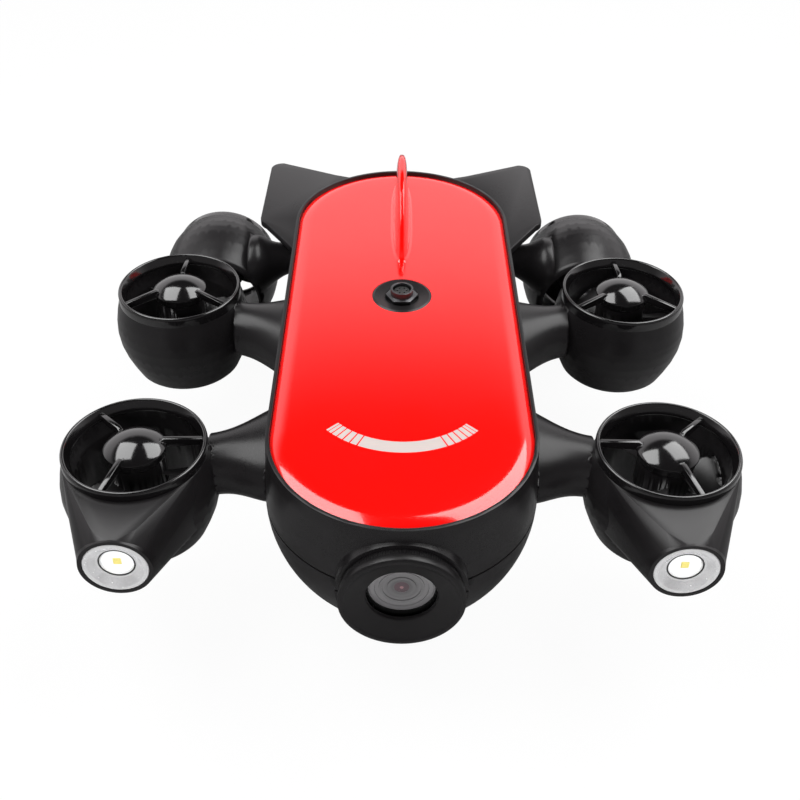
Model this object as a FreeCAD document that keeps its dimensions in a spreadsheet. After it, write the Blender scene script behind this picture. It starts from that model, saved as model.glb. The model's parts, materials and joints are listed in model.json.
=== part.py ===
"""A six-thruster underwater inspection vehicle, as one parametric assembly.

Frame: millimetres, +Z up, the vehicle looks along -Y and its left side is +X.
The origin is on the floor, under the middle of the vehicle.
Each sub-part is one object with its own Label and is written to parts/LABEL.step.
"""
import FreeCAD, Part
import Sketcher
import math
import os
import re

doc = FreeCAD.newDocument("inspection_rov")

# ---------------------------------------------------------------------------
# Driving sizes
# ---------------------------------------------------------------------------
SIZES = [
    # hull: a stadium deck over a bowl of constant radius
    ("hull_y", -11.9, "middle of the hull's plan"),
    ("hull_half", 103, "from the middle to the centre of each round end"),
    ("hull_rad", 70, "radius of the bowl and of the round ends at the parting plane"),
    ("hull_up", 12, "bottom of the bowl, above the floor"),
    ("rim_in", 2.2, "how far the walls lean in up to the deck"),
    ("upper_high", 38, "parting plane to the cover's top"),
    ("wall", 3, "wall of both shells"),
    ("gasket", 1.2, "thickness of the gasket on the parting plane"),
    ("gasket_in", 0.7, "how far the gasket lies in from the outside"),
    ("seat", 0.1, "clearance between seated curved faces"),
    # cover and dorsal fin
    ("cover_in", 2.1, "rim of the hull round the cover"),
    ("crown_drop", 1.5, "how far the cover falls to its edge"),
    ("crown_wide", 20, "width of the falling band of the cover"),
    ("cover_thick", 3, "thickness of the cover"),
    ("fin_front_in", 50, "front of the fin's base, ahead of the centre of the hull's rear end"),
    ("fin_tip_out", 10, "fin's tip, behind that centre"),
    ("fin_tip_up", 38, "tip, above the cover"),
    ("fin_back_out", 49, "back of the fin's base, behind that centre"),
    ("fin_base", 12, "thickness of the fin at its base"),
    ("fin_edge", 5, "thickness of the fin at its tip"),
    # vertical thrusters
    ("duct_out", 66, "duct axes, outside the hull's widest line"),
    ("front_in", 5.6, "front duct axes, behind the centre of the hull's front end"),
    ("middle_in", 55.6, "middle duct axes, ahead of the centre of the hull's rear end"),
    ("duct_drop", 14.4, "top of the guard ring, below the cover's top"),
    ("ring_rad", 37, "outside of the guard ring"),
    ("ring_deep", 6, "height of the guard ring's outside"),
    ("ring_wall", 3, "wall of the guard ring"),
    ("belly_out", 3.8, "widest outside of the barrel, over the ring's"),
    ("belly_deep", 27, "its level, below the ring's top"),
    ("foot_in", 4.6, "outside of the barrel's lower end, under the ring's"),
    ("barrel_long", 57, "ring's top to barrel's lower end"),
    ("throat_in", 5.5, "bore at the propeller, under the ring's outside"),
    ("foot_wall", 2.8, "wall of the barrel's lower end"),
    ("blade_gap", 0.9, "running clearance at the blade tips"),
    # rear thrusters, on level axes
    ("rear_out", 54, "rear duct axes, outside the hull's widest line"),
    ("rear_back", 5.8, "far end of the rear barrels, behind the widest line of the middle barrels"),
    ("rear_drop", 58.5, "rear duct axes, below the cover's top"),
    ("rear_ring_rad", 34.4, "outside of the rear guard ring"),
    ("rear_ring_deep", 5.5, "height of the rear guard ring's outside"),
    ("rear_belly_deep", 25, "its distance from the ring's face"),
    ("rear_foot_in", 2.9, "outside of the rear barrel's far end, under the ring's"),
    ("rear_barrel_long", 62, "ring's face to barrel's far end"),
    # what all six thrusters share
    ("dome_rad", 16, "hub cap of the guard"),
    ("dome_high", 6, "height of the hub cap"),
    ("dome_drop", 2, "hub cap's edge, below the ring's top"),
    ("hub_deep", 5, "thickness of the guard's hub under the cap"),
    ("strut_thick", 2.5, "thickness of a strut"),
    ("strut_high", 5.2, "height of a strut"),
    ("strut_rise", 1.2, "top of a strut at the hub, above the ring's top"),
    ("strut_sink", 2, "top of a strut at the ring, below the ring's top"),
    ("motor_rad", 10, "outside of the motor"),
    ("motor_long", 17, "length of the motor"),
    ("shaft_rad", 2, "motor shaft"),
    ("shaft_gap", 0.05, "running clearance of the shaft in the propeller"),
    ("bell_wall", 3.8, "wall of the propeller's hub"),
    ("bell_gap", 0.8, "running clearance around the motor"),
    ("bell_floor", 5, "thickness of the hub's closed end"),
    ("nose_high", 6, "height of the hub's nose"),
    ("blade_thick", 2.4, "thickness of a blade"),
    ("root_chord", 17, "blade width at the hub"),
    ("tip_chord", 25, "blade width at the tip"),
    ("root_pitch", 40, "blade angle at the hub"),
    ("tip_pitch", 22, "blade angle at the tip"),
    # arms
    ("front_root_in", 23.5, "front arm's axis at the hull, behind the centre of the hull's front end"),
    ("middle_root_in", 76, "middle arm's axis at the hull, ahead of the centre of the hull's rear end"),
    ("rear_root_back", 18.5, "rear arm's axis, behind the centre of the hull's rear end"),
    ("root_half", 29, "half width of an arm at the hull"),
    ("root_high", 18, "half height of an arm at the hull"),
    ("neck_half", 19, "half width of an arm at its neck"),
    ("neck_high", 16.5, "half height of an arm at its neck"),
    ("rear_arm_half", 11, "half width and height of a rear arm at its neck"),
    ("rear_arm_flare", 21.5, "half width of a rear arm at the barrel"),
    ("rear_arm_tall", 19.5, "half height of a rear arm at the barrel"),
    ("rear_arm_ahead", 6, "how far a rear arm's axis runs forward to the barrel"),
    ("rear_arm_fall", 5, "how far a rear arm's axis falls to the barrel"),
    # lamps on the front ducts
    ("lamp_ahead", 63.6, "lamp's face, ahead of the duct's axis"),
    ("lamp_drop", 37, "lamp's axis, below the cover's top"),
    ("lamp_wall", 2, "wall of the pod round the lamp's ring"),
    ("lamp_ring_rad", 16, "metal ring of the lamp"),
    ("dish_rad", 9, "inside of the lamp's ring at its floor"),
    ("lamp_deep", 9, "depth of the lamp's seat"),
    ("led_side", 4, "side of the light-emitting chip"),
    ("pod_half", 33, "half width of the pod inside the barrel"),
    ("pod_top", 8, "top of the pod, below the ring's top"),
    ("pod_bottom", 50, "bottom of the pod, below the ring's top"),
    ("pod_round", 11, "corner radius of the pod inside the barrel"),
    # camera port
    ("port_rad", 30, "outside of the port's bezel"),
    ("port_out", 8, "bezel's front, ahead of the hull's front end"),
    ("bezel_thick", 4.5, "thickness of the bezel at its edge"),
    ("knurl_in", 1, "knurled ring, under the bezel's outside"),
    ("knurl_thick", 3.5, "thickness of the knurled ring"),
    ("neck_out", 1.4, "hull's neck, over the bezel's outside"),
    ("port_wall", 7, "bezel's outside to the neck's bore"),
    ("window_ledge", 3, "ledge behind the window"),
    ("window_thick", 3, "thickness of the window"),
    ("bezel_wide", 13.3, "bezel's outside to its opening"),
    # tether connector
    ("plug_y", 16.7, "connector, behind the hull's middle"),
    ("plate_rad", 17.2, "connector's plate"),
    ("recess_rad", 9.9, "recess in the plate"),
    ("shell_rad", 8.2, "connector shell's flange, half across flats"),
    ("sleeve_rad", 6.6, "outside of the connector's sleeve"),
    ("sleeve_bore", 5.3, "inside of the connector's sleeve"),
    ("insert_rad", 4.4, "connector's insert"),
    ("pin_bore", 0.55, "pin holes of the insert"),
    # tail plate
    ("tail_drop", 12, "tail plate's top, below the cover's top"),
    ("tail_thick", 5, "tail plate's thickness"),
    ("tail_out", 24, "tail plates' tips, outside the hull's widest line"),
    ("tail_tip_back", 101.6, "tips, behind the centre of the hull's rear end"),
    ("tail_notch_back", 84, "notch, behind that centre"),
    ("tail_lead_back", 21, "outer end of the leading edge, behind that centre"),
    ("tail_root_in", 19, "inner end of the leading edge, ahead of that centre"),
    # skids
    ("skid_x", 30, "skid rails, from the middle plane"),
    ("skid_wide", 9, "width of a skid rail"),
    ("skid_short", 18, "ends of a skid rail, inside the centres of the round ends"),
    # inside
    ("tray_down", 22, "chassis tray's top, below the parting plane"),
    ("tray_thick", 2.5, "thickness of the chassis tray"),
    ("tray_in", 15, "sides of the chassis tray, inside the hull's widest line"),
    ("tray_over", 10, "ends of the chassis tray, past the centres of the round ends"),
    ("pack_side", 40, "sides of the battery pack, inside the bowl's wall at the parting plane"),
    ("pack_in", 28, "ends of the battery pack, inside the centres of the round ends"),
    ("pack_floor", 12.5, "bottom of the battery pack, above the bowl's lowest inside"),
    ("board_side", 28, "sides of the control board, inside the hull's widest line"),
    ("board_in", 38, "ends of the control board, inside the centres of the round ends"),
    ("board_up", 12, "control board, above the tray"),
    ("camera_side", 34, "camera module's side"),
    ("lens_rad", 12, "camera lens's barrel"),
    ("thread_core", 2.55, "bore of the accessory insert's thread"),
    ("insert_out", 5, "outside of the accessory insert"),
    ("insert_long", 9, "length of the accessory insert"),
]

sheet = doc.addObject("Spreadsheet::Sheet", "sizes")
for row, (alias, value, note) in enumerate(SIZES, 1):
    sheet.set("A%d" % row, note)
    sheet.set("B%d" % row, str(value))
    sheet.setAlias("B%d" % row, alias)
doc.recompute()
ALIASES = {alias for alias, value, note in SIZES}


# ---------------------------------------------------------------------------
# Small tools: ties to the sheet, sketches, features
# ---------------------------------------------------------------------------
# sizes that follow from those of the sheet
FOLLOWING = dict(
    part_z="hull_up + hull_rad",
    cover_z="part_z + upper_high",
    rim_rad="hull_rad - rim_in",
    cover_rad="rim_rad - cover_in",
    fin_front="hull_half - fin_front_in",
    fin_tip_y="hull_half + fin_tip_out",
    fin_back="hull_half + fin_back_out",
    duct_x="hull_rad + duct_out",
    front_y="front_in - hull_half",
    middle_y="hull_half - middle_in",
    mouth_rad="ring_rad - ring_wall",
    belly_rad="ring_rad + belly_out",
    foot_rad="ring_rad - foot_in",
    throat_rad="ring_rad - throat_in",
    outlet_rad="foot_rad - foot_wall",
    blade_rad="throat_rad - blade_gap",
    rear_x="hull_rad + rear_out",
    rear_y="middle_y + belly_rad + rear_back + rear_barrel_long",
    rear_mouth_rad="rear_ring_rad - ring_wall",
    rear_belly_rad="rear_ring_rad + belly_out",
    rear_foot_rad="rear_ring_rad - rear_foot_in",
    rear_throat_rad="rear_ring_rad - throat_in",
    rear_outlet_rad="rear_foot_rad - foot_wall",
    rear_blade_rad="rear_throat_rad - blade_gap",
    bell_rad="motor_rad + bell_gap + bell_wall",
    arm_drop="upper_high",
    front_root_y="front_root_in - hull_half",
    middle_root_y="hull_half - middle_root_in",
    rear_root_y="hull_half + rear_root_back",
    lamp_rad="lamp_ring_rad + lamp_wall",
    port_face="hull_half + hull_rad + port_out",
    knurl_rad="port_rad - knurl_in",
    neck_rad="port_rad + neck_out",
    port_bore="port_rad - port_wall",
    view_bore="port_bore - window_ledge",
    view_rad="port_rad - bezel_wide",
    tail_half="hull_rad + tail_out",
    tail_tip_y="hull_half + tail_tip_back",
    tail_notch_y="hull_half + tail_notch_back",
    tail_lead_y="hull_half + tail_lead_back",
    tail_root_y="hull_half - tail_root_in",
    skid_long="2 * (hull_half - skid_short)",
    tray_z="part_z - tray_down",
    tray_half="hull_rad - tray_in",
    tray_long="2 * (hull_half + tray_over)",
    pack_wide="2 * (hull_rad - wall - pack_side)",
    pack_high="hull_rad - wall - tray_down - tray_thick - pack_floor",
    pack_long="2 * (hull_half - pack_in)",
    board_wide="2 * (hull_rad - board_side)",
    board_long="2 * (hull_half - board_in)",
)


def tie(text):
    """An expression whose words are read from the sheet, or written out where they follow from others."""
    def swap(found):
        word = found.group()
        if word in FOLLOWING:
            return "(" + tie(FOLLOWING[word]) + ")"
        return "sizes." + word if word in ALIASES else word
    return re.sub(r"[a-z_]+", swap, text)


def value(text):
    """The number that such an expression gives now."""
    return float(sheet.evalExpression(tie(text).replace("sizes.", "")))


def bind(thing, **ties):
    """Ties properties to the sheet; a double underscore stands for a dot."""
    for name, text in ties.items():
        thing.setExpression(name.replace("__", "."), tie(text))
    return thing


def place(thing, x="0", y="0", z="0"):
    return bind(thing, Placement__Base__x=x, Placement__Base__y=y, Placement__Base__z=z)


def turn(thing, axis, angle):
    """A fixed turn, given before the position is tied."""
    thing.Placement = FreeCAD.Placement(FreeCAD.Vector(), FreeCAD.Rotation(FreeCAD.Vector(*axis), angle))
    return thing


def primitive(kind, name, turned=None, at=("0", "0", "0"), **ties):
    thing = doc.addObject("Part::" + kind, name)
    if turned:
        turn(thing, *turned)
    bind(thing, **ties)
    return place(thing, *at)


def fuse(name, *shapes):
    thing = doc.addObject("Part::MultiFuse", name)
    thing.Shapes = list(shapes)
    thing.Refine = True
    return thing


def cut(name, base, tool):
    thing = doc.addObject("Part::Cut", name)
    thing.Base = base
    thing.Tool = tool
    thing.Refine = True
    return thing


def common(name, *shapes):
    thing = doc.addObject("Part::MultiCommon", name)
    thing.Shapes = list(shapes)
    thing.Refine = True
    return thing


def new_body(name):
    return doc.addObject("PartDesign::Body", name)


def new_sketch(body, name, role, up="0", turned=0.0):
    """A sketch on one of the body's origin planes, moved along the plane's normal and turned in it."""
    sketch = body.newObject("Sketcher::SketchObject", name)
    plane = [f for f in body.Origin.OriginFeatures if f.Role == role][0]
    sketch.AttachmentSupport = [(plane, "")]
    sketch.MapMode = "FlatFace"
    if turned:
        sketch.AttachmentOffset = FreeCAD.Placement(
            FreeCAD.Vector(), FreeCAD.Rotation(FreeCAD.Vector(0, 0, 1), turned))
    bind(sketch, AttachmentOffset__Base__z=up)
    return sketch


def pin_point(sketch, geometry, point, u, v):
    """Holds one point of a sketch at two tied distances from the sketch's origin."""
    for kind, text in (("DistanceX", u), ("DistanceY", v)):
        index = sketch.addConstraint(
            Sketcher.Constraint(kind, -1, 1, geometry, point, value(text)))
        sketch.setExpression("Constraints[%d]" % index, tie(text))


def outline(sketch, corners):
    """A closed outline of corners (u, v). In (u, v, mu, mv) the edge that leaves the corner is an arc through m."""
    spots = [FreeCAD.Vector(value(c[0]), value(c[1]), 0) for c in corners]
    count = len(corners)
    ends = []
    for index, corner in enumerate(corners):
        start = spots[index]
        end = spots[(index + 1) % count]
        if len(corner) == 2:
            sketch.addGeometry(Part.LineSegment(start, end), False)
            ends.append((1, 2))
            continue
        middle = FreeCAD.Vector(value(corner[2]), value(corner[3]), 0)
        clockwise = (middle - start).cross(end - middle).z < 0
        if clockwise:
            sketch.addGeometry(Part.Arc(end, middle, start), False)
        else:
            sketch.addGeometry(Part.Arc(start, middle, end), False)
        ends.append((2, 1) if clockwise else (1, 2))
    for index in range(count):
        following = (index + 1) % count
        sketch.addConstraint(
            Sketcher.Constraint("Coincident", index, ends[index][1], following, ends[following][0]))
    for index, corner in enumerate(corners):
        pin_point(sketch, index, ends[index][0], corner[0], corner[1])
    for index, corner in enumerate(corners):
        if len(corner) > 2:
            marker = sketch.addGeometry(
                Part.Point(FreeCAD.Vector(value(corner[2]), value(corner[3]), 0)), True)
            sketch.addConstraint(Sketcher.Constraint("PointOnObject", marker, 1, index))
            pin_point(sketch, marker, 1, corner[2], corner[3])
    return sketch


def circle(sketch, radius, u="0", v="0"):
    index = sketch.addGeometry(
        Part.Circle(FreeCAD.Vector(value(u), value(v), 0), FreeCAD.Vector(0, 0, 1), value(radius)), False)
    pin_point(sketch, index, 3, u, v)
    held = sketch.addConstraint(Sketcher.Constraint("Radius", index, value(radius)))
    sketch.setExpression("Constraints[%d]" % held, tie(radius))
    return sketch


def rounded_box(sketch, half_wide, low, high, corner):
    """A closed outline of four lines and four quarter arcs, about the vertical axis."""
    diagonal = "(" + corner + ") * 0.292893"
    w = "(" + half_wide + ")"
    c = "(" + corner + ")"
    low = "(" + low + ")"
    high = "(" + high + ")"
    return outline(sketch, [
        (w, low + " + " + c),
        (w, high + " - " + c, w + " - " + diagonal, high + " - " + diagonal),
        (w + " - " + c, high),
        ("-" + w + " + " + c, high, "-" + w + " + " + diagonal, high + " - " + diagonal),
        ("-" + w, high + " - " + c),
        ("-" + w, low + " + " + c, "-" + w + " + " + diagonal, low + " + " + diagonal),
        ("-" + w + " + " + c, low),
        (w + " - " + c, low, w + " - " + diagonal, low + " + " + diagonal),
    ])


def stadium(sketch, radius, half):
    """Two half circles joined by straight sides, long along the sketch's vertical axis."""
    r = "(" + radius + ")"
    e = "(" + half + ")"
    return outline(sketch, [
        (r, "-" + e),
        (r, e, "0", e + " + " + r),
        ("-" + r, e),
        ("-" + r, "-" + e, "0", "-" + e + " - " + r),
    ])


def pad(body, name, sketch, length, both=False, reverse=False):
    feature = body.newObject("PartDesign::Pad", name)
    feature.Profile = (sketch, [""])
    feature.Midplane = both
    feature.Reversed = reverse
    return bind(feature, Length=length)


def pocket(body, name, sketch, length, reverse=False, both=False):
    feature = body.newObject("PartDesign::Pocket", name)
    feature.Profile = (sketch, [""])
    feature.Reversed = reverse
    feature.Midplane = both
    return bind(feature, Length=length)


def revolve(body, name, sketch, kind="Revolution"):
    feature = body.newObject("PartDesign::" + kind, name)
    feature.Profile = (sketch, [""])
    feature.ReferenceAxis = (sketch, ["V_Axis"])
    feature.Angle = 360
    return feature


def loft(body, name, sketches, kind="AdditiveLoft", ruled=False):
    feature = body.newObject("PartDesign::" + kind, name)
    feature.Profile = (sketches[0], [""])
    feature.Sections = [(sketch, [""]) for sketch in sketches[1:]]
    feature.Ruled = ruled
    return feature


def around(body, name, feature, count):
    """Repeats a feature about the body's own vertical axis."""
    pattern = body.newObject("PartDesign::PolarPattern", name)
    pattern.Originals = [feature]
    axis = [f for f in body.Origin.OriginFeatures if f.Role == "Z_Axis"][0]
    pattern.Axis = (axis, [""])
    pattern.Angle = 360
    pattern.Occurrences = count
    body.Tip = pattern
    return pattern


NODES = []


def node(thing, label):
    thing.Label = label
    NODES.append(thing)
    return thing


# ---------------------------------------------------------------------------
# Hull: two shells over one form, the gasket between them, the cover with its fin
# ---------------------------------------------------------------------------
def upper_form(name, grow, low, high):
    """The upper hull: two cones joined by a wedge, between two levels."""
    tall = "(" + high + ") - (" + low + ")"
    bottom = "hull_rad + (" + grow + ")"
    top = "rim_rad + (" + grow + ")"
    ends = [
        primitive("Cone", name + "_" + end, at=("0", "hull_y %s hull_half" % sign, low),
                  Radius1=bottom, Radius2=top, Height=tall)
        for end, sign in (("front", "-"), ("rear", "+"))
    ]
    middle = doc.addObject("Part::Wedge", name + "_middle")
    turn(middle, (1, 0, 0), 90)
    bind(middle, Xmin="-(" + bottom + ")", Xmax=bottom, X2min="-(" + top + ")", X2max=top,
         Ymin="0", Ymax=tall, Zmin="-hull_half", Zmax="hull_half",
         Z2min="-hull_half", Z2max="hull_half")
    place(middle, "0", "hull_y", low)
    return fuse(name, middle, *ends)


def lower_form(name, grow, stepped=False):
    """The bowl: a half cylinder with a quarter sphere at each end, under the parting plane.

    A stepped bowl has three cones in place of each ball, inside it.
    """
    radius = "hull_rad + (" + grow + ")"
    pieces = []
    for end, sign in (("front", "-"), ("rear", "+")):
        if stepped:
            for step in range(3):
                low, high = math.radians(30 * step + 30), math.radians(30 * step)
                inner = "(%s - 0.4)" % radius
                cone = primitive(
                    "Cone", "%s_%s_%d" % (name, end, step), turned=((0, 0, 1), 180 if end == "front" else 0),
                    at=("0", "hull_y %s hull_half" % sign, "part_z - %s * %.5f" % (inner, math.sin(low))),
                    Radius1="%s * %.5f" % (inner, abs(math.cos(low)) if step < 2 else 0),
                    Radius2="%s * %.5f" % (inner, math.cos(high)),
                    Height="%s * %.5f" % (inner, math.sin(low) - math.sin(high)))
                cone.Angle = 180
                pieces.append(cone)
            continue
        ball = primitive("Sphere", name + "_" + end, at=("0", "hull_y %s hull_half" % sign, "part_z"),
                         Radius=radius)
        ball.Angle1 = -90
        ball.Angle2 = 0
        pieces.append(ball)
    trough = primitive("Cylinder", name + "_trough", turned=((1, 0, 0), -90),
                       at=("0", "hull_y - hull_half", "part_z"), Radius=radius, Height="2 * hull_half")
    trough.Angle = 180
    return fuse(name, trough, *pieces)


def port_rod(name, radius, back, front, half=None):
    """A cylinder on the camera port's axis, between two distances ahead of the hull's middle."""
    rod = primitive("Cylinder", name, turned=((1, 0, 0), -90),
                    at=("0", "hull_y - (" + front + ")", "part_z"),
                    Radius=radius, Height="(" + front + ") - (" + back + ")")
    if half == "lower":
        rod.Angle = 180
    if half == "upper":
        turn(rod, (0, 1, 1), 180)
        rod.Angle = 180
        place(rod, "0", "hull_y - (" + front + ")", "part_z")
    return rod


NECK_FRONT = "port_face - bezel_thick - knurl_thick"
NECK_BACK = "hull_half + 40"
WINDOW_SEAT = NECK_FRONT + " - 1.5"
DECK = "cover_z - cover_thick"
BOSS_ROWS = ("18 - hull_half", "0", "hull_half - 18")
BOSS_IN = "hull_rad - 18"
BOSS_HOLE = "hull_rad - 12"
RIB_ROWS = ("41 - hull_half", "0", "hull_half - 41")


def column(name, radius, x, y, low, high):
    return primitive("Cylinder", name, at=(x, "hull_y + (" + y + ")", low),
                     Radius=radius, Height="(" + high + ") - (" + low + ")")


def block(name, x_low, x_high, y_low, y_high, z_low, z_high):
    """A box between levels; the y values count from the hull's middle."""
    return primitive("Box", name, at=(x_low, "hull_y + (" + y_low + ")", z_low),
                     Length="(" + x_high + ") - (" + x_low + ")",
                     Width="(" + y_high + ") - (" + y_low + ")",
                     Height="(" + z_high + ") - (" + z_low + ")")


def boss_blocks(name, low, high, inside):
    """Blocks along both side walls that take the shells' screws."""
    blocks = []
    for row, y in enumerate(BOSS_ROWS):
        blocks.append(block("%s_left_%d" % (name, row), BOSS_IN, "hull_rad",
                            y + " - 5", y + " + 5", low, high))
        blocks.append(block("%s_right_%d" % (name, row), "-hull_rad", "-(" + BOSS_IN + ")",
                            y + " - 5", y + " + 5", low, high))
    return common(name, fuse(name + "_blocks", *blocks), inside)


def boss_holes(name, radius, low, high):
    return [column("%s_%d_%s" % (name, row, side), radius, sign + "(" + BOSS_HOLE + ")", y, low, high)
            for row, y in enumerate(BOSS_ROWS) for side, sign in (("left", ""), ("right", "-"))]


cover_seat = new_body("cover_seat")
pad(cover_seat, "cover_seat_pad",
    stadium(new_sketch(cover_seat, "cover_seat_plan", "XY_Plane", up=DECK),
            "cover_rad + seat", "hull_half"), "cover_thick + 5")
place(cover_seat, "0", "hull_y", "0")

# upper shell: walls, deck, half of the port's neck, screw bosses
upper_skin = upper_form("upper_skin", "0", "part_z + gasket / 2", "cover_z")
upper_hollow = upper_form("upper_hollow", "-wall", "part_z", DECK + " - wall")
upper_solid = fuse(
    "upper_solid",
    cut("upper_walls", upper_skin, upper_hollow),
    cut("upper_neck_half",
        port_rod("upper_neck", "neck_rad", NECK_BACK, NECK_FRONT, "upper"),
        block("upper_neck_foot", "-40", "40", "-port_face", "0", "part_z - 1", "part_z + gasket / 2")),
    boss_blocks("upper_bosses", "part_z + gasket / 2", DECK, upper_hollow))
view_cut = port_rod("view_cut", "view_bore", "hull_half", "port_face")
window_cut = port_rod("window_cut", "port_bore", WINDOW_SEAT + " - window_thick", "port_face")
connector_hole = column("connector_hole", "sleeve_rad + seat", "0", "plug_y", DECK + " - wall - 1", "cover_z")
upper_cuts = fuse("upper_cuts", cover_seat, view_cut, window_cut, connector_hole,
                  *(boss_holes("upper_hole", "1.6", "part_z", "cover_z")
                    + boss_holes("head_hole", "3", DECK + " - 3.2", "cover_z")))
upper_shell = node(cut("upper_shell", upper_solid, upper_cuts), "upper_shell")

# lower shell: bowl, half of the port's neck, cradle ribs, screw bosses, accessory boss
lower_skin = lower_form("lower_skin", "0")
lower_hollow = lower_form("lower_hollow", "-wall", stepped=True)
ribs = [block("rib_%d" % row, "-hull_rad", "hull_rad", y + " - 1.5", y + " + 1.5",
              "0", "tray_z - tray_thick") for row, y in enumerate(RIB_ROWS)]
cradle = cut("cradle", common("cradle_ribs", fuse("cradle_blocks", *ribs), lower_hollow),
             block("pack_room", "-pack_wide / 2 - 0.3", "pack_wide / 2 + 0.3",
                   "-pack_long / 2", "pack_long / 2", "tray_z - tray_thick - pack_high", "tray_z"))
accessory_boss = column("accessory_boss", "insert_out + 3", "0", "0",
                        "part_z - hull_rad + wall / 2", "part_z - hull_rad + insert_long + 2.5")
lower_solid = fuse(
    "lower_solid",
    cut("lower_walls", lower_skin, lower_hollow),
    port_rod("lower_neck", "neck_rad", NECK_BACK, NECK_FRONT, "lower"),
    boss_blocks("lower_bosses", "part_z - 16", "part_z", lower_hollow),
    cradle, accessory_boss)
lower_cuts = fuse("lower_cuts", view_cut, window_cut,
                  block("gasket_room", "-hull_rad - 5", "hull_rad + 5", "-port_face", "port_face",
                        "part_z - gasket / 2", "part_z + 1"),
                  column("insert_hole", "insert_out + 0.02", "0", "0",
                         "part_z - hull_rad - 1", "part_z - hull_rad + insert_long + 0.5"),
                  *boss_holes("lower_hole", "1.55", "part_z - 14", "part_z"))
lower_shell = node(cut("lower_shell", lower_solid, lower_cuts), "lower_shell")

# gasket: a flat ring that follows the shells' edge and the neck
gasket_body = new_body("gasket_body")
pad(gasket_body, "gasket_ring", stadium(new_sketch(gasket_body, "gasket_plan", "XY_Plane"),
                                        "hull_rad - gasket_in", "hull_half"), "gasket", both=True)
pocket(gasket_body, "gasket_open", stadium(new_sketch(gasket_body, "gasket_inner", "XY_Plane"),
                                           "hull_rad - wall", "hull_half"), "gasket + 1", both=True)
place(gasket_body, "0", "hull_y", "part_z")
neck_pads = [block("neck_pad_" + side, low, high, "-(" + NECK_FRONT + ") + gasket_in", "-(" + NECK_BACK + ")",
                   "part_z - gasket / 2", "part_z + gasket / 2")
             for side, low, high in (("left", "view_bore", "neck_rad - gasket_in"),
                                     ("right", "-neck_rad + gasket_in", "-view_bore"))]
hull_gasket = node(cut("hull_gasket", fuse("gasket_solid", gasket_body, *neck_pads),
                       fuse("gasket_cuts", port_rod("gasket_view", "view_bore", "hull_half", "port_face"),
                            port_rod("gasket_window", "port_bore", WINDOW_SEAT + " - window_thick",
                                     "port_face"))),
                   "hull_gasket")

# screws under the cover
screw_shanks = [column("shank_%d_%s" % (row, side), "1.5", sign + "(" + BOSS_HOLE + ")", y,
                       "part_z - 13", DECK + " - 3.2")
                for row, y in enumerate(BOSS_ROWS) for side, sign in (("left", ""), ("right", "-"))]
screw_heads = [column("head_%d_%s" % (row, side), "2.75", sign + "(" + BOSS_HOLE + ")", y,
                      DECK + " - 3.2", DECK + " - 0.2")
               for row, y in enumerate(BOSS_ROWS) for side, sign in (("left", ""), ("right", "-"))]
shell_screws = node(fuse("shell_screws", *(screw_shanks + screw_heads)), "shell_screws")

# cover and dorsal fin: level ellipses lofted upwards
def crown_edge(sign):
    """The cover's edge on one side, from its foot up and in over the crown."""
    def side(x):
        return sign + "(" + x + ")"
    return [(side("cover_rad"), DECK),
            (side("cover_rad"), "cover_z - crown_drop"),
            (side("cover_rad - crown_wide * 0.18"), "cover_z - crown_drop * 0.64"),
            (side("cover_rad - crown_wide * 0.4"), "cover_z - crown_drop * 0.32"),
            (side("cover_rad - crown_wide * 0.68"), "cover_z - crown_drop * 0.09"),
            (side("cover_rad - crown_wide"), "cover_z")]


cover_middle = new_body("cover_middle")
pad(cover_middle, "cover_run", outline(new_sketch(cover_middle, "cover_run_profile", "XZ_Plane"),
                                       crown_edge("") + crown_edge("-")[::-1]), "2 * hull_half", both=True)
place(cover_middle, "0", "hull_y", "0")
cover_ends = []
for end, sign, back in (("front", "-", True), ("rear", "+", False)):
    cover_end = new_body("cover_end_" + end)
    swept = revolve(cover_end, "cover_turn_" + end,
                    outline(new_sketch(cover_end, "cover_profile_" + end, "XZ_Plane"),
                            [("0", DECK)] + crown_edge("") + [("0", "cover_z")]))
    swept.Angle = 180
    swept.Reversed = back
    cover_ends.append(place(cover_end, "0", "hull_y %s hull_half" % sign, "0"))
cover_hole = column("cover_hole", "plate_rad + seat", "0", "plug_y", DECK + " - 1", "cover_z + 1")
cover_body = cut("cover_body", fuse("cover_form", cover_middle, *cover_ends), cover_hole)
# share of the fin's height, and of the way in from its base at the front, the back and in thickness
FIN = (("-0.05", "-0.02", "0", "0"), ("0.2", "0.075", "0.02", "0.3"), ("0.45", "0.2", "0.08", "0.52"),
       ("0.68", "0.37", "0.24", "0.68"), ("0.86", "0.6", "0.52", "0.82"), ("1", "1", "1", "1"))
fin_sections = []
for tag, (up, front, back, thin) in enumerate(FIN):
    nose = "(fin_front + " + front + " * (fin_tip_y - 8 - fin_front))"
    tail = "(fin_back - " + back + " * (fin_back - fin_tip_y - 8))"
    fin_sections.append(primitive(
        "Ellipse", "fin_section_%d" % tag, turned=((0, 0, 1), 90),
        at=("0", "hull_y + (" + nose + " + " + tail + ") / 2", "cover_z + " + up + " * fin_tip_up"),
        MajorRadius="(" + tail + " - " + nose + ") / 2",
        MinorRadius="(fin_base - " + thin + " * (fin_base - fin_edge)) / 2"))
fin = doc.addObject("Part::Loft", "dorsal_fin")
fin.Sections = fin_sections
fin.Solid = True
top_cover = node(fuse("top_cover", cover_body, fin), "top_cover")

# the full hull, a little larger, that trims whatever seats on it
hull_envelope = fuse("hull_envelope",
                     upper_form("envelope_upper", "seat", "part_z", "cover_z + 20"),
                     lower_form("envelope_lower", "seat"))

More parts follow.
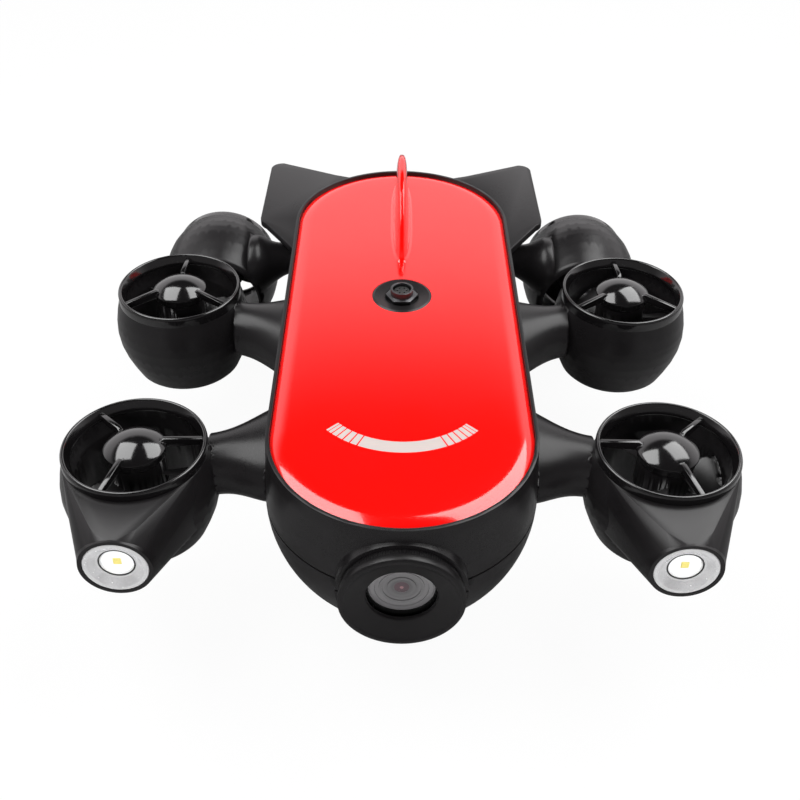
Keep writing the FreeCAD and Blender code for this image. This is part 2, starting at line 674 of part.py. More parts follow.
# tail plates
for side, sign in (("left", ""), ("right", "-")):
    plate = new_body("tail_body_" + side)
    corners = [("0", "tail_root_y - 14"), (sign + "(rim_rad - 4)", "tail_root_y - 6"),
               (sign + "(rim_rad + 4)", "tail_root_y + 7"),
               (sign + "(tail_half - 4)", "tail_lead_y - 5", sign + "(tail_half - 1.1)", "tail_lead_y - 1.6"),
               (sign + "(tail_half)", "tail_lead_y + 3"),
               (sign + "(tail_half - 0.7)", "tail_tip_y - 9", sign + "(tail_half - 2.8)", "tail_tip_y - 2.8"),
               (sign + "(tail_half - 9.5)", "tail_tip_y - 0.3"),
               (sign + "46", "tail_notch_y", sign + "24", "tail_notch_y - 8"), ("0", "tail_notch_y - 19")]
    pad(plate, "tail_pad_" + side, outline(new_sketch(plate, "tail_plan_" + side, "XY_Plane"), corners),
        "tail_thick", reverse=True)
    place(plate, "0", "hull_y", "cover_z - tail_drop")
    node(cut("tail_" + side, plate, hull_envelope), "tail_" + side)

# skid rails under the bowl
rails = fuse("rails", *[block("rail_" + side, low, high, "-skid_long / 2", "skid_long / 2", "0", "part_z / 2")
                        for side, low, high in (
                            ("left", "skid_x - skid_wide / 2", "skid_x + skid_wide / 2"),
                            ("right", "-skid_x - skid_wide / 2", "-skid_x + skid_wide / 2"))])
skid_rails = node(cut("skid_rails", rails, hull_envelope), "skid_rails")

# accessory insert in the bowl's lowest point
accessory_insert = node(
    cut("accessory_insert",
        column("insert_solid", "insert_out", "0", "0", "part_z - hull_rad + 0.5",
               "part_z - hull_rad + 0.5 + insert_long"),
        column("insert_thread", "thread_core", "0", "0",
               "part_z - hull_rad", "part_z - hull_rad + 10 + insert_long")),
    "accessory_insert")


# ---------------------------------------------------------------------------
# Camera port, connector, and what is inside the hull
# ---------------------------------------------------------------------------
def turned_part(name, corners, at, axis=None):
    """A revolved piece about its own vertical axis, then turned and placed."""
    body = new_body(name)
    sketch = outline(new_sketch(body, name + "_profile", "XZ_Plane"), corners)
    revolve(body, name + "_turned", sketch)
    if axis:
        turn(body, *axis)
    place(body, *at)
    return body


def cap_middle(radius, rise):
    """A point halfway in along a spherical cap's profile: its radius and its height over the cap's edge."""
    ball = "(({r}) ^ 2 + ({k}) ^ 2) / (2 * ({k}))".format(r=radius, k=rise)
    return "(" + radius + ") / 2", "(({k}) - {b} + sqrt(({b}) ^ 2 - ({r}) ^ 2 / 4))".format(
        k=rise, b=ball, r=radius)


FORWARD = ((1, 0, 0), 90)
PORT_AT = ("0", "hull_y - port_face", "part_z")

node(turned_part("bezel_body", [
    ("port_rad", "-bezel_thick"),
    ("port_rad", "-1"),
    ("port_rad - 1", "0"),
    ("port_rad - 3", "0"),
    ("view_rad", "-bezel_thick - 0.5"),
    ("view_rad", "-bezel_thick - 2"),
    ("port_bore - seat", "-bezel_thick - 2"),
    ("port_bore - seat", "-bezel_thick"),
], PORT_AT, FORWARD), "bezel_ring")
node(turned_part("knurl_body", [
    ("port_bore", "-bezel_thick - knurl_thick"),
    ("knurl_rad", "-bezel_thick - knurl_thick"),
    ("knurl_rad", "-bezel_thick"),
    ("port_bore", "-bezel_thick"),
], PORT_AT, FORWARD), "knurled_ring")
node(turned_part("window_body", [
    ("0", "-bezel_thick - knurl_thick - 1.5 - window_thick"),
    ("port_bore - seat", "-bezel_thick - knurl_thick - 1.5 - window_thick"),
    ("port_bore - seat", "-bezel_thick - knurl_thick - 1.5"),
    ("0", "-bezel_thick - knurl_thick - 1.5"),
], PORT_AT, FORWARD), "port_window")
LENS_FRONT = NECK_FRONT + " - 1.5 - window_thick - 1"
MODULE_FRONT = "tray_long / 2"
lens_long = "(" + LENS_FRONT + ") - (" + MODULE_FRONT + ")"
node(turned_part("lens_body", [
    ("0", "-(" + lens_long + ")"),
    ("lens_rad - 2", "-(" + lens_long + ")"),
    ("lens_rad - 2", "-16"),
    ("lens_rad", "-14"),
    ("lens_rad", "-1"),
    ("lens_rad - 1", "0"),
    ("lens_rad - 2.5", "0"),
    ("lens_rad - 5", "-2.5"),
    ("4.5", "-2.5", cap_middle("4.5", "1.7")[0], "-2.5 + " + cap_middle("4.5", "1.7")[1]),
    ("0", "-0.8"),
], ("0", "hull_y - (" + LENS_FRONT + ")", "part_z"), FORWARD), "camera_lens")
camera_module = node(fuse(
    "camera_module",
    block("camera_box", "-camera_side / 2", "camera_side / 2", "-(" + MODULE_FRONT + ")",
          "-(" + MODULE_FRONT + ") + 24", "part_z - camera_side / 2", "part_z + camera_side / 2"),
    block("camera_foot", "-camera_side / 2 - 4", "camera_side / 2 + 4", "-(" + MODULE_FRONT + ") + 4",
          "-(" + MODULE_FRONT + ") + 20", "tray_z", "part_z - camera_side / 2")), "camera_module")

node(turned_part("plate_body", [
    ("recess_rad", "-cover_thick + 1"),
    ("recess_rad", "-0.6"),
    ("plate_rad - 1.2", "0.4"),
    ("plate_rad", "-0.2"),
    ("plate_rad", "-cover_thick"),
    ("sleeve_rad + seat", "-cover_thick"),
    ("sleeve_rad + seat", "-cover_thick + 1"),
], ("0", "hull_y + plug_y", "cover_z")), "connector_plate")
nut = new_body("nut_body")
nut_plan = new_sketch(nut, "nut_plan", "XY_Plane", up="-cover_thick + 1")
outline(nut_plan, [("shell_rad * %.6f" % (math.cos(math.radians(60 * k)) / math.cos(math.radians(30))),
                    "shell_rad * %.6f" % (math.sin(math.radians(60 * k)) / math.cos(math.radians(30))))
                   for k in range(6)])
pad(nut, "nut_flange", nut_plan, "3.2")
pad(nut, "nut_sleeve", circle(new_sketch(nut, "nut_sleeve_plan", "XY_Plane", up="-cover_thick - wall - 4"),
                              "sleeve_rad"), "cover_thick + wall + 9")
pocket(nut, "nut_bore", circle(new_sketch(nut, "nut_bore_plan", "XY_Plane", up="5"), "sleeve_bore"),
       "cover_thick + wall + 3")
place(nut, "0", "hull_y + plug_y", "cover_z")
node(nut, "connector_shell")
insert = new_body("insert_body")
pad(insert, "insert_pad", circle(new_sketch(insert, "insert_plan", "XY_Plane", up="-cover_thick - wall + 2"),
                                 "insert_rad"), "cover_thick + wall + 1.5")
pin_sketch = circle(new_sketch(insert, "insert_pins", "XY_Plane", up="3.5"),
                    "pin_bore", "insert_rad * 0.62", "0")
first_pin = pocket(insert, "insert_pin", pin_sketch, "4")
around(insert, "insert_pin_ring", first_pin, 6)
place(insert, "0", "hull_y + plug_y", "cover_z")
node(insert, "connector_insert")

chassis_tray = node(cut(
    "chassis_tray",
    block("tray_plate", "-tray_half", "tray_half", "-tray_long / 2", "tray_long / 2",
          "tray_z - tray_thick", "tray_z"),
    fuse("tray_slots", *[block("tray_slot_%d" % k, "-14", "14", y + " - 9", y + " + 9",
                               "tray_z - 10", "tray_z + 1")
                         for k, y in enumerate(("-40", "40"))])), "chassis_tray")
battery_pack = node(primitive(
    "Box", "battery_pack",
    at=("-pack_wide / 2", "hull_y - pack_long / 2", "tray_z - tray_thick - pack_high"),
    Length="pack_wide", Width="pack_long", Height="pack_high"), "battery_pack")
board_posts = [column("post_%s_%s" % (side, end), "3", x + "(board_wide / 2 - 6)",
                      y + "(board_long / 2 - 6)", "tray_z", "tray_z + board_up")
               for side, x in (("left", ""), ("right", "-")) for end, y in (("rear", ""), ("front", "-"))]
control_board = node(fuse(
    "control_board",
    block("board_plate", "-board_wide / 2", "board_wide / 2", "-board_long / 2", "board_long / 2",
          "tray_z + board_up", "tray_z + board_up + 1.6"),
    block("board_core", "-16", "16", "-20", "14", "tray_z + board_up + 1.6", "tray_z + board_up + 9"),
    block("board_drivers", "-board_wide / 2 + 8", "board_wide / 2 - 8", "28", "46",
          "tray_z + board_up + 1.6", "tray_z + board_up + 7"),
    *board_posts), "control_board")


# ---------------------------------------------------------------------------
# Thrusters: barrel with arm, guard, motor, propeller; lamps on the front pair
# ---------------------------------------------------------------------------
UPRIGHT = dict(ring="ring_rad", deep="ring_deep", mouth="mouth_rad", belly="belly_rad",
               belly_deep="belly_deep", foot="foot_rad", long="barrel_long", throat="throat_rad",
               outlet="outlet_rad", blade="blade_rad")
LEVEL = {key: "rear_" + name for key, name in UPRIGHT.items()}
HUB_FLOOR = "-(dome_drop + hub_deep)"
MOTOR_END = HUB_FLOOR + " - motor_long"
SHAFT_END = MOTOR_END + " - bell_gap - bell_floor - 2"
BLADE_LEVEL = HUB_FLOOR + " - 13"


def barrel(label, use, lamp):
    """The solid barrel about its own axis, mouth up at the origin, with the lamp's pod if it has one."""
    body = new_body(label + "_barrel")
    r, d, b, bd, f, g = (use[k] for k in ("ring", "deep", "belly", "belly_deep", "foot", "long"))
    below = [("%s - (%s - %s) * %.4f" % (b, b, f, 1 - math.cos(math.radians(turned))),
              "-%s - (%s - %s - 1.5) * %.4f" % (bd, g, bd, turned / 90)) for turned in (90, 67.5, 45, 22.5)]
    above = [("%s + (%s - %s) * %.4f" % (r, b, r, math.sin(math.radians(turned))),
              "-%s - (%s - %s) * %.4f" % (d, bd, d, turned / 90)) for turned in (90, 60, 30, 0)]
    sketch = outline(new_sketch(body, label + "_barrel_profile", "XZ_Plane"),
                     [("0", "-" + g), (f + " - 1.5", "-" + g)] + below + above + [("0", "-" + d)])
    revolve(body, label + "_barrel_turned", sketch)
    if lamp:
        wide = rounded_box(new_sketch(body, label + "_pod_wide", "XZ_Plane", up="14"),
                           "pod_half", "-pod_bottom", "-pod_top", "pod_round")
        level = "-(lamp_drop - duct_drop)"
        round_end = rounded_box(new_sketch(body, label + "_pod_round", "XZ_Plane", up="lamp_ahead"),
                                "lamp_rad", level + " - lamp_rad", level + " + lamp_rad", "lamp_rad - 0.05")
        loft(body, label + "_pod", [wide, round_end])
        seat = circle(new_sketch(body, label + "_lamp_seat", "XZ_Plane", up="lamp_ahead"),
                      "lamp_ring_rad + seat", "0", level)
        pocket(body, label + "_lamp_pocket", seat, "lamp_deep")
    return body


def bore(label, use):
    """The water's way through a barrel, and the room that the guard's ring takes on its mouth."""
    body = new_body(label + "_bore")
    m, t, o, g, r, d = (use[k] for k in ("mouth", "throat", "outlet", "long", "ring", "deep"))
    sketch = outline(new_sketch(body, label + "_bore_profile", "XZ_Plane"), [
        ("0", "-" + g + " - 1"),
        (o, "-" + g + " - 1"),
        (o, "-" + g),
        (t, HUB_FLOOR + " - 28"),
        (t, HUB_FLOOR + " - 10"),
        (m, HUB_FLOOR + " - 4"),
        (m, "-" + d),
        (r + " + 9", "-" + d),
        (r + " + 9", "30"),
        ("0", "30"),
    ])
    revolve(body, label + "_bore_turned", sketch)
    return body


def guard(label, use, angle):
    """Ring, three struts and hub cap, moulded in one."""
    body = new_body(label + "_guard_body")
    dome = cap_middle("dome_rad", "dome_high")
    hub = outline(new_sketch(body, label + "_hub_profile", "XZ_Plane"), [
        ("0", HUB_FLOOR),
        ("dome_rad - 1", HUB_FLOOR),
        ("dome_rad - 1", "-dome_drop - 1"),
        ("dome_rad", "-dome_drop - 1"),
        ("dome_rad", "-dome_drop", dome[0], "-dome_drop + " + dome[1]),
        ("0", "-dome_drop + dome_high"),
    ])
    revolve(body, label + "_hub", hub)
    m, r, d = (use[k] for k in ("mouth", "ring", "deep"))
    strut = outline(new_sketch(body, label + "_strut_side", "XZ_Plane"), [
        ("dome_rad - 4", "strut_rise - 1.5"),
        ("dome_rad - 1", "strut_rise"),
        (m + " + 0.4", "-strut_sink"),
        (m + " + 0.4", "-" + d + " + 0.3"),
        ("dome_rad - 4", "strut_rise - strut_high"),
    ])
    one = pad(body, label + "_strut", strut, "strut_thick", both=True)
    around(body, label + "_struts", one, 3)
    ring = outline(new_sketch(body, label + "_ring_profile", "XZ_Plane"), [
        (m, "-" + d),
        (r, "-" + d),
        (r, "-1.6"),
        (r + " - 0.5", "-0.5"),
        (r + " - 1.5", "0"),
        (m + " + 1.3", "-0.1"),
        (m + " + 0.6", "-0.6"),
        (m + " + 0.3", "-1.5"),
    ])
    revolve(body, label + "_ring", ring)
    body.Placement = FreeCAD.Placement(FreeCAD.Vector(), FreeCAD.Rotation(FreeCAD.Vector(0, 0, 1), angle))
    return body


def motor(label):
    """Motor can hung under the guard's hub, with its shaft down."""
    body = new_body(label + "_motor_body")
    sketch = outline(new_sketch(body, label + "_motor_profile", "XZ_Plane"), [
        ("0", SHAFT_END),
        ("shaft_rad", SHAFT_END),
        ("shaft_rad", MOTOR_END),
        ("motor_rad", MOTOR_END),
        ("motor_rad", HUB_FLOOR),
        ("0", HUB_FLOOR),
    ])
    revolve(body, label + "_motor_turned", sketch)
    return body


def propeller(label, use, hand):
    """A cup that turns round the motor on its shaft, with three wide blades."""
    body = new_body(label + "_propeller_body")
    nose = "(bell_gap + bell_floor + nose_high)"
    sketch = outline(new_sketch(body, label + "_bell_profile", "XZ_Plane"), [
        ("0", SHAFT_END + " - 1"),
        ("shaft_rad + shaft_gap", SHAFT_END + " - 1"),
        ("shaft_rad + shaft_gap", MOTOR_END + " - bell_gap"),
        ("motor_rad + bell_gap", MOTOR_END + " - bell_gap"),
        ("motor_rad + bell_gap", HUB_FLOOR + " - bell_gap"),
        ("bell_rad", HUB_FLOOR + " - bell_gap"),
        ("bell_rad", MOTOR_END),
        ("bell_rad * 0.87", MOTOR_END + " - " + nose + " * 0.5"),
        ("bell_rad * 0.5", MOTOR_END + " - " + nose + " * 0.87"),
        ("0", MOTOR_END + " - " + nose),
    ])
    revolve(body, label + "_bell", sketch)
    sections = []
    for tag, radius, chord, thick, pitch in (
            ("root", "motor_rad + bell_gap + 1.2", "root_chord", "blade_thick", "root_pitch"),
            ("half", "(bell_rad + " + use["blade"] + ") / 2", "(root_chord + tip_chord) / 2 + 1",
             "blade_thick * 0.85", "(root_pitch + tip_pitch) / 2 - 2"),
            ("tip", use["blade"] + " + 2", "tip_chord", "blade_thick * 0.6", "tip_pitch")):
        section = new_sketch(body, label + "_blade_" + tag, "YZ_Plane", up=radius)
        bind(section, AttachmentOffset__Base__y=BLADE_LEVEL,
             AttachmentOffset__Rotation__Angle=("" if hand > 0 else "-") + "(" + pitch + ")")
        half = "(" + chord + ") / 2"
        outline(section, [
            ("-" + half, "0", "0", "-(" + thick + ") / 2"),
            (half, "0", "0", "(" + thick + ") / 2"),
        ])
        sections.append(section)
    blade = loft(body, label + "_blade", sections)
    around(body, label + "_blades", blade, 3)
    trim = circle(new_sketch(body, label + "_tip_trim", "XY_Plane", up=BLADE_LEVEL), use["blade"])
    circle(trim, use["blade"] + " + 9")
    pocket(body, label + "_tips", trim, "28", both=True).Refine = False
    return body


def arm(label, side, sections):
    """An arm lofted through upright ellipses.

    Each section is x, y from the hull's middle, the fall of the axis, half the width and half the height.
    """
    rings = []
    for tag, (x, y, fall, wide, high) in enumerate(sections):
        rings.append(primitive(
            "Ellipse", "%s_arm_%d" % (label, tag), turned=((1, 1, 1), 120),
            at=(side + "(" + x + ")", "hull_y + " + y, "cover_z - arm_drop - (" + fall + ")"),
            MajorRadius=wide, MinorRadius=high))
    thing = doc.addObject("Part::Loft", label + "_arm")
    thing.Sections = rings
    thing.Solid = True
    return thing


def slanted(root, duct, x):
    """Where an arm's axis is at x, on the line from its root to the duct's axis."""
    return "(%s + (%s - (%s)) * (%s - rim_rad - 5.2) / (duct_x - rim_rad - 5.2))" % (root, duct, root, x)


def upright_arm(label, side, root, duct):
    """A front or middle arm: a wide root on the hull that draws in to a neck and runs into the barrel."""
    stations = [("rim_rad - 8", "root_half + 5", "root_high + 3"),
                ("rim_rad + 6.2", "root_half", "root_high"),
                ("rim_rad + 19.2", "neck_half + 1.5", "neck_high"),
                ("duct_x - belly_rad + 5.8", "neck_half - 1", "neck_high - 1")]
    return arm(label, side, [(x, slanted(root, duct, x), "0", wide, high) for x, wide, high in stations])


def level_arm(label, side):
    """A rear arm: a waist beside the hull, then a bell that closes on the barrel's side."""
    def station(x, along, wide, high):
        return (x, "(rear_root_y - rear_arm_ahead * %s)" % along, "rear_arm_fall * %s" % along, wide, high)

    return arm(label, side, [
        station("rim_rad - 18", "0", "rear_arm_half + 10", "rear_arm_half + 7"),
        station("rim_rad - 4", "0", "rear_arm_half + 3.5", "rear_arm_half + 2.5"),
        station("rim_rad + 5", "0.15", "rear_arm_half", "rear_arm_half"),
        station("rear_x - rear_ring_rad - 6", "0.6", "rear_arm_flare - 8", "rear_arm_tall - 7"),
        station("rear_x - rear_ring_rad + 3", "0.9", "rear_arm_flare - 1.8", "rear_arm_tall - 1.5"),
        station("rear_x - rear_ring_rad + 12", "1", "rear_arm_flare", "rear_arm_tall")])


def thruster(label, side, at, use, arm_solid, angle, hand, lamp, axis=None):
    """Places one thruster's pieces: the barrel's axis is turned by axis and moved to at."""
    frame = FreeCAD.Rotation(FreeCAD.Vector(*axis[0]), axis[1]) if axis else FreeCAD.Rotation()
    pieces = [barrel(label, use, lamp), bore(label, use), guard(label, use, angle), motor(label),
              propeller(label, use, hand)]
    for piece in pieces:
        piece.Placement = FreeCAD.Placement(FreeCAD.Vector(), frame * piece.Placement.Rotation)
        place(piece, *at)
    solid, hollow, guard_body, motor_body, propeller_body = pieces
    tools = fuse(label + "_tools", hollow, hull_envelope)
    node(cut(label + "_duct", fuse(label + "_duct_solid", solid, arm_solid), tools), label + "_duct")
    node(guard_body, label + "_guard")
    node(motor_body, label + "_motor")
    node(propeller_body, label + "_propeller")


def lamp(label, at):
    """Metal ring, glass and light board, faces forward."""
    node(turned_part(label + "_ring_body", [
        ("dish_rad", "-lamp_deep"),
        ("lamp_ring_rad", "-lamp_deep"),
        ("lamp_ring_rad", "-0.6"),
        ("lamp_ring_rad - 0.6", "0"),
        ("lamp_ring_rad - 2.4", "0"),
        ("dish_rad + 0.8", "-3"),
        ("dish_rad", "-3"),
    ], at, FORWARD), label + "_ring")
    node(turned_part(label + "_glass_body", [
        ("0", "-5"),
        ("dish_rad - seat", "-5"),
        ("dish_rad - seat", "-3.4"),
        ("0", "-3.4"),
    ], at, FORWARD), label + "_glass")
    board = turned_part(label + "_board_body", [
        ("0", "-lamp_deep"),
        ("dish_rad - seat", "-lamp_deep"),
        ("dish_rad - seat", "-5"),
        ("dish_rad - 1", "-5"),
        ("dish_rad - 2.5", "-7"),
        ("0", "-7"),
    ], at, FORWARD)
    chip = new_sketch(board, label + "_chip_plan", "XY_Plane", up="-7")
    half = "led_side / 2"
    outline(chip, [(half, "-" + half), (half, half), ("-" + half, half), ("-" + half, "-" + half)])
    pad(board, label + "_chip", chip, "0.8")
    node(board, label + "_board")


BACKWARD_MOUTH = ((1, 0, 0), -90)
for side_name, side in (("right", "-"), ("left", "")):
    hand = 1 if side == "" else -1
    for row, row_y, root_y, angle, has_lamp in (
            ("front", "front_y", "front_root_y", 168.5 if side == "" else 11.5, True),
            ("middle", "middle_y", "middle_root_y", 90, False)):
        label = row + "_" + side_name
        thruster(label, side, (side + "duct_x", "hull_y + " + row_y, "cover_z - duct_drop"), UPRIGHT,
                 upright_arm(label, side, root_y, row_y), angle, hand if row == "front" else -hand, has_lamp)
    label = "rear_" + side_name
    thruster(label, side, (side + "rear_x", "hull_y + rear_y", "cover_z - rear_drop"), LEVEL,
             level_arm(label, side), -90, hand, False, BACKWARD_MOUTH)
    lamp(side_name + "_lamp", (side + "duct_x", "hull_y + front_y - lamp_ahead", "cover_z - lamp_drop"))


# ---------------------------------------------------------------------------
# Build, check, write
# ---------------------------------------------------------------------------
doc.recompute()
for thing in doc.Objects:
    if "Invalid" in thing.State or "Error" in thing.State:
        raise RuntimeError("failed: %s %s" % (thing.Name, thing.State))
for thing in doc.Objects:
    if thing.TypeId in ("PartDesign::Pocket", "PartDesign::Groove"):
        if thing.Shape.Volume > thing.BaseFeature.Shape.Volume - 1e-6:
            raise RuntimeError("cuts nothing: " + thing.Name)
os.makedirs("parts", exist_ok=True)
for thing in NODES:
    shape = thing.Shape
    if shape.isNull() or not shape.isValid() or not shape.Solids:
        raise RuntimeError("bad shape: " + thing.Label)
for thing in NODES:
    thing.Shape.exportStep(os.path.join("parts", thing.Label + ".step"))
    print(thing.Label, len(thing.Shape.Solids), "solids, volume", round(thing.Shape.Volume))
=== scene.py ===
"""An underwater inspection vehicle: looks, light and camera around its solid model."""
import json
import math

import bpy
import bmesh
from mathutils import Matrix, Vector

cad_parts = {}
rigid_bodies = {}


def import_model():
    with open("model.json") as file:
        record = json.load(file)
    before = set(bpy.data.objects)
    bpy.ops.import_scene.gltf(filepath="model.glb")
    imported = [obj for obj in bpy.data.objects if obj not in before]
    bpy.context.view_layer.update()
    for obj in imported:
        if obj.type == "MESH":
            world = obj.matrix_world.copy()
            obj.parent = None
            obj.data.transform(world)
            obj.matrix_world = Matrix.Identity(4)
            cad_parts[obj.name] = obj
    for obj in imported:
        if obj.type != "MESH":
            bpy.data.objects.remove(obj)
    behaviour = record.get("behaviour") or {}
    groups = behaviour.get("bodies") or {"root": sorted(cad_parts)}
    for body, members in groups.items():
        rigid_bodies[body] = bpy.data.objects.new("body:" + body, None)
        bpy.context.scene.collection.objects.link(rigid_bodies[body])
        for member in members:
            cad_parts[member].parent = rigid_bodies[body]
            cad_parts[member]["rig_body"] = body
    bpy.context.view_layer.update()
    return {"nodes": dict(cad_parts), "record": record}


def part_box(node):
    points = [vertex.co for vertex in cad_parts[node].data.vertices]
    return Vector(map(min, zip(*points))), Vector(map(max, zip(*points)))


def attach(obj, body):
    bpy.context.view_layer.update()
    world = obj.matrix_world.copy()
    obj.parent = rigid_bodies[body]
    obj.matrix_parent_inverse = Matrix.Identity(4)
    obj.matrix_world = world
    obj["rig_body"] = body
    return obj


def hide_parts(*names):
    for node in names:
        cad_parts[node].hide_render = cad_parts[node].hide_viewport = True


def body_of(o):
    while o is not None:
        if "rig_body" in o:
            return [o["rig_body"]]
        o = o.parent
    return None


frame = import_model()
bpy.ops.object.select_all(action="DESELECT")
nodes = frame["nodes"]
MM = 0.001
SIDES = ("left", "right")
ROWS = ("front", "middle", "rear")
QUARTER = math.radians(90)
SMOOTH_BELOW = 32.0


# ---------------------------------------------------------------------------
# Shader maths: a wrapped socket, and one method that makes a node
# ---------------------------------------------------------------------------
class Wire:
    """A shader socket that takes part in Python arithmetic by adding Math nodes."""

    def __init__(self, finish, socket):
        self.finish = finish
        self.socket = socket

    def _math(self, operation, *values):
        return self.finish.make("ShaderNodeMath", dict(operation=operation), *values)

    def __add__(self, other):
        return self._math("ADD", self, other)

    def __radd__(self, other):
        return self._math("ADD", other, self)

    def __sub__(self, other):
        return self._math("SUBTRACT", self, other)

    def __rsub__(self, other):
        return self._math("SUBTRACT", other, self)

    def __mul__(self, other):
        return self._math("MULTIPLY", self, other)

    def __rmul__(self, other):
        return self._math("MULTIPLY", other, self)

    def __lt__(self, other):
        return self._math("LESS_THAN", self, other)

    def __gt__(self, other):
        return self._math("GREATER_THAN", self, other)

    def __abs__(self):
        return self._math("ABSOLUTE", self)

    def root(self):
        return self._math("SQRT", self)

    def sine(self):
        return self._math("SINE", self)

    def angle(self, other):
        return self._math("ARCTAN2", self, other)

    def most(self, other):
        return self._math("MAXIMUM", self, other)

    def ramp(self, low, high, to_low=0.0, to_high=1.0, smooth=False):
        """The value carried from one range to another, and held at its ends."""
        kind = "SMOOTHSTEP" if smooth else "LINEAR"
        return self.finish.make("ShaderNodeMapRange", dict(clamp=True, interpolation_type=kind),
                                self, low, high, to_low, to_high)

    def parts(self):
        """The three parts of a place or a direction."""
        split = self.finish.make("ShaderNodeSeparateXYZ", {}, self).socket.node
        return [Wire(self.finish, split.outputs[axis]) for axis in range(3)]


class Nodes:
    """A node tree, with the one method that makes its nodes."""

    def __init__(self, owner, output):
        owner.use_nodes = True
        self.tree = owner.node_tree
        self.tree.nodes.clear()
        self.output = self.tree.nodes.new(output)

    def make(self, kind, settings, *values, out=0, **named):
        """Any node: its settings first, then the values or wires of its sockets."""
        node = self.tree.nodes.new(kind)
        for key, value in settings.items():
            setattr(node, key, value)
        for key, value in list(enumerate(values)) + list(named.items()):
            socket = node.inputs[key.replace("_", " ") if isinstance(key, str) else key]
            if isinstance(value, Wire):
                self.tree.links.new(value.socket, socket)
            elif value is not None:
                socket.default_value = value
        return Wire(self, node.outputs[out])

    def surface(self, shader):
        self.tree.links.new(shader.socket, self.output.inputs["Surface"])

    def looked(self, way):
        """One for rays of this kind, nought for the others."""
        return self.make("ShaderNodeLightPath", {}, out="Is %s Ray" % way)

    def between(self, factor, first, second):
        """A shader between two shaders."""
        return self.make("ShaderNodeMixShader", {}, factor, first, second)


class Finish(Nodes):
    """A material under construction, with its Principled shader."""

    def __init__(self, name, **sockets):
        self.material = bpy.data.materials.new(name)
        super().__init__(self.material, "ShaderNodeOutputMaterial")
        self.shader = self.make("ShaderNodeBsdfPrincipled", {})
        self.surface(self.shader)
        self.set(**sockets)

    def set(self, **sockets):
        """Constants and wires on the shader's own sockets, named with underscores for spaces."""
        for name, value in sockets.items():
            socket = self.shader.socket.node.inputs[name.replace("_", " ")]
            if isinstance(value, Wire):
                self.tree.links.new(value.socket, socket)
            else:
                socket.default_value = value
        return self

    def place(self):
        """The Object coordinates, in metres."""
        return self.make("ShaderNodeTexCoord", {}, out="Object")

    def noise(self, place, scale, detail=2.0, rough=0.5):
        return self.make("ShaderNodeTexNoise", {}, place, Scale=scale, Detail=detail, Roughness=rough)

    def blend(self, factor, first, second):
        """A colour between two colours."""
        unused = [None] * 5
        return self.make("ShaderNodeMix", dict(data_type="RGBA"), factor, *unused, first, second, out=2)

    def bump(self, height, strength, distance):
        return self.set(Normal=self.make("ShaderNodeBump", {}, Strength=strength, Distance=distance, Height=height))


def grey(level, tint=(1.0, 1.0, 1.0)):
    return (level * tint[0], level * tint[1], level * tint[2], 1.0)


# ---------------------------------------------------------------------------
# Finishes
# ---------------------------------------------------------------------------
def moulded(name, dark, pale, rough, grain, coat=0.0, scale=2600.0):
    """Moulded plastic: fine grain, slow changes of shade and of gloss."""
    finish = Finish(name, IOR=1.5, Coat_Weight=coat, Coat_Roughness=0.12)
    place = finish.place()
    slow = finish.noise(place, 24.0, 3.0)
    fine = finish.noise(place, scale, 2.0, 0.6)
    finish.set(Base_Color=finish.blend(slow.ramp(0.35, 0.65), dark, pale),
               Roughness=slow.ramp(0.3, 0.7, rough - 0.03, rough + 0.03) + fine.ramp(0.3, 0.7, -0.02, 0.02))
    return finish.bump(fine, grain, 0.00006)


def turned_metal(name, colour, rough, metallic=1.0):
    """Metal with a fine grain of tool marks."""
    finish = Finish(name, Metallic=metallic)
    fine = finish.noise(finish.place(), 900.0, 4.0, 0.6)
    worn = tuple(0.86 * part for part in colour[:3]) + (1.0,)
    finish.set(Base_Color=finish.blend(fine.ramp(0.3, 0.7), colour, worn),
               Roughness=fine.ramp(0.3, 0.7, rough - 0.05, rough + 0.06))
    return finish.bump(fine, 0.15, 0.00004)


def clear(name):
    """Clear glass that lets plain light through to what lies behind it."""
    finish = Finish(name, IOR=1.45, Transmission_Weight=1.0, Roughness=0.0, Base_Color=(0.98, 0.99, 1, 1))
    open_way = finish.make("ShaderNodeBsdfTransparent", {})
    finish.surface(finish.between(finish.looked("Shadow"), finish.shader, open_way))
    return finish


WARM = (1.06, 0.96, 1.03)
charcoal = moulded("charcoal_plastic", grey(0.007, WARM), grey(0.0095, WARM), 0.30, 0.16)
gloss_black = moulded("gloss_black_plastic", grey(0.0035, WARM), grey(0.005, WARM), 0.12, 0.04, coat=0.6)
blade_black = moulded("propeller_plastic", grey(0.006, WARM), grey(0.009, WARM), 0.34, 0.2)
port_black = moulded("port_coating", grey(0.0055, WARM), grey(0.0075, WARM), 0.36, 0.25, scale=4200.0)
charcoal.set(Specular_IOR_Level=0.32)
port_black.set(Specular_IOR_Level=0.32)
rubber = moulded("rubber", grey(0.012), grey(0.018), 0.7, 0.5)
module_black = moulded("camera_module_black", grey(0.01), grey(0.014), 0.5, 0.2)
insert_black = moulded("insert_black", grey(0.012), grey(0.017), 0.45, 0.2)
battery_blue = moulded("battery_wrap", (0.03, 0.08, 0.22, 1), (0.04, 0.1, 0.26, 1), 0.35, 0.2)
board_green = moulded("board_green", (0.015, 0.12, 0.05, 1), (0.02, 0.14, 0.06, 1), 0.4, 0.2)
motor_paint = moulded("motor_paint", grey(0.02), grey(0.028), 0.4, 0.15)
dish_white = moulded("dish_white", grey(0.80), grey(0.86), 0.4, 0.1)
chip_yellow = moulded("chip_yellow", (0.78, 0.66, 0.16, 1), (0.86, 0.74, 0.22, 1), 0.35, 0.1)
lamp_metal = turned_metal("turned_aluminium", (0.93, 0.93, 0.94, 1), 0.22, metallic=0.6)
tray_metal = turned_metal("tray_aluminium", (0.6, 0.6, 0.62, 1), 0.4)
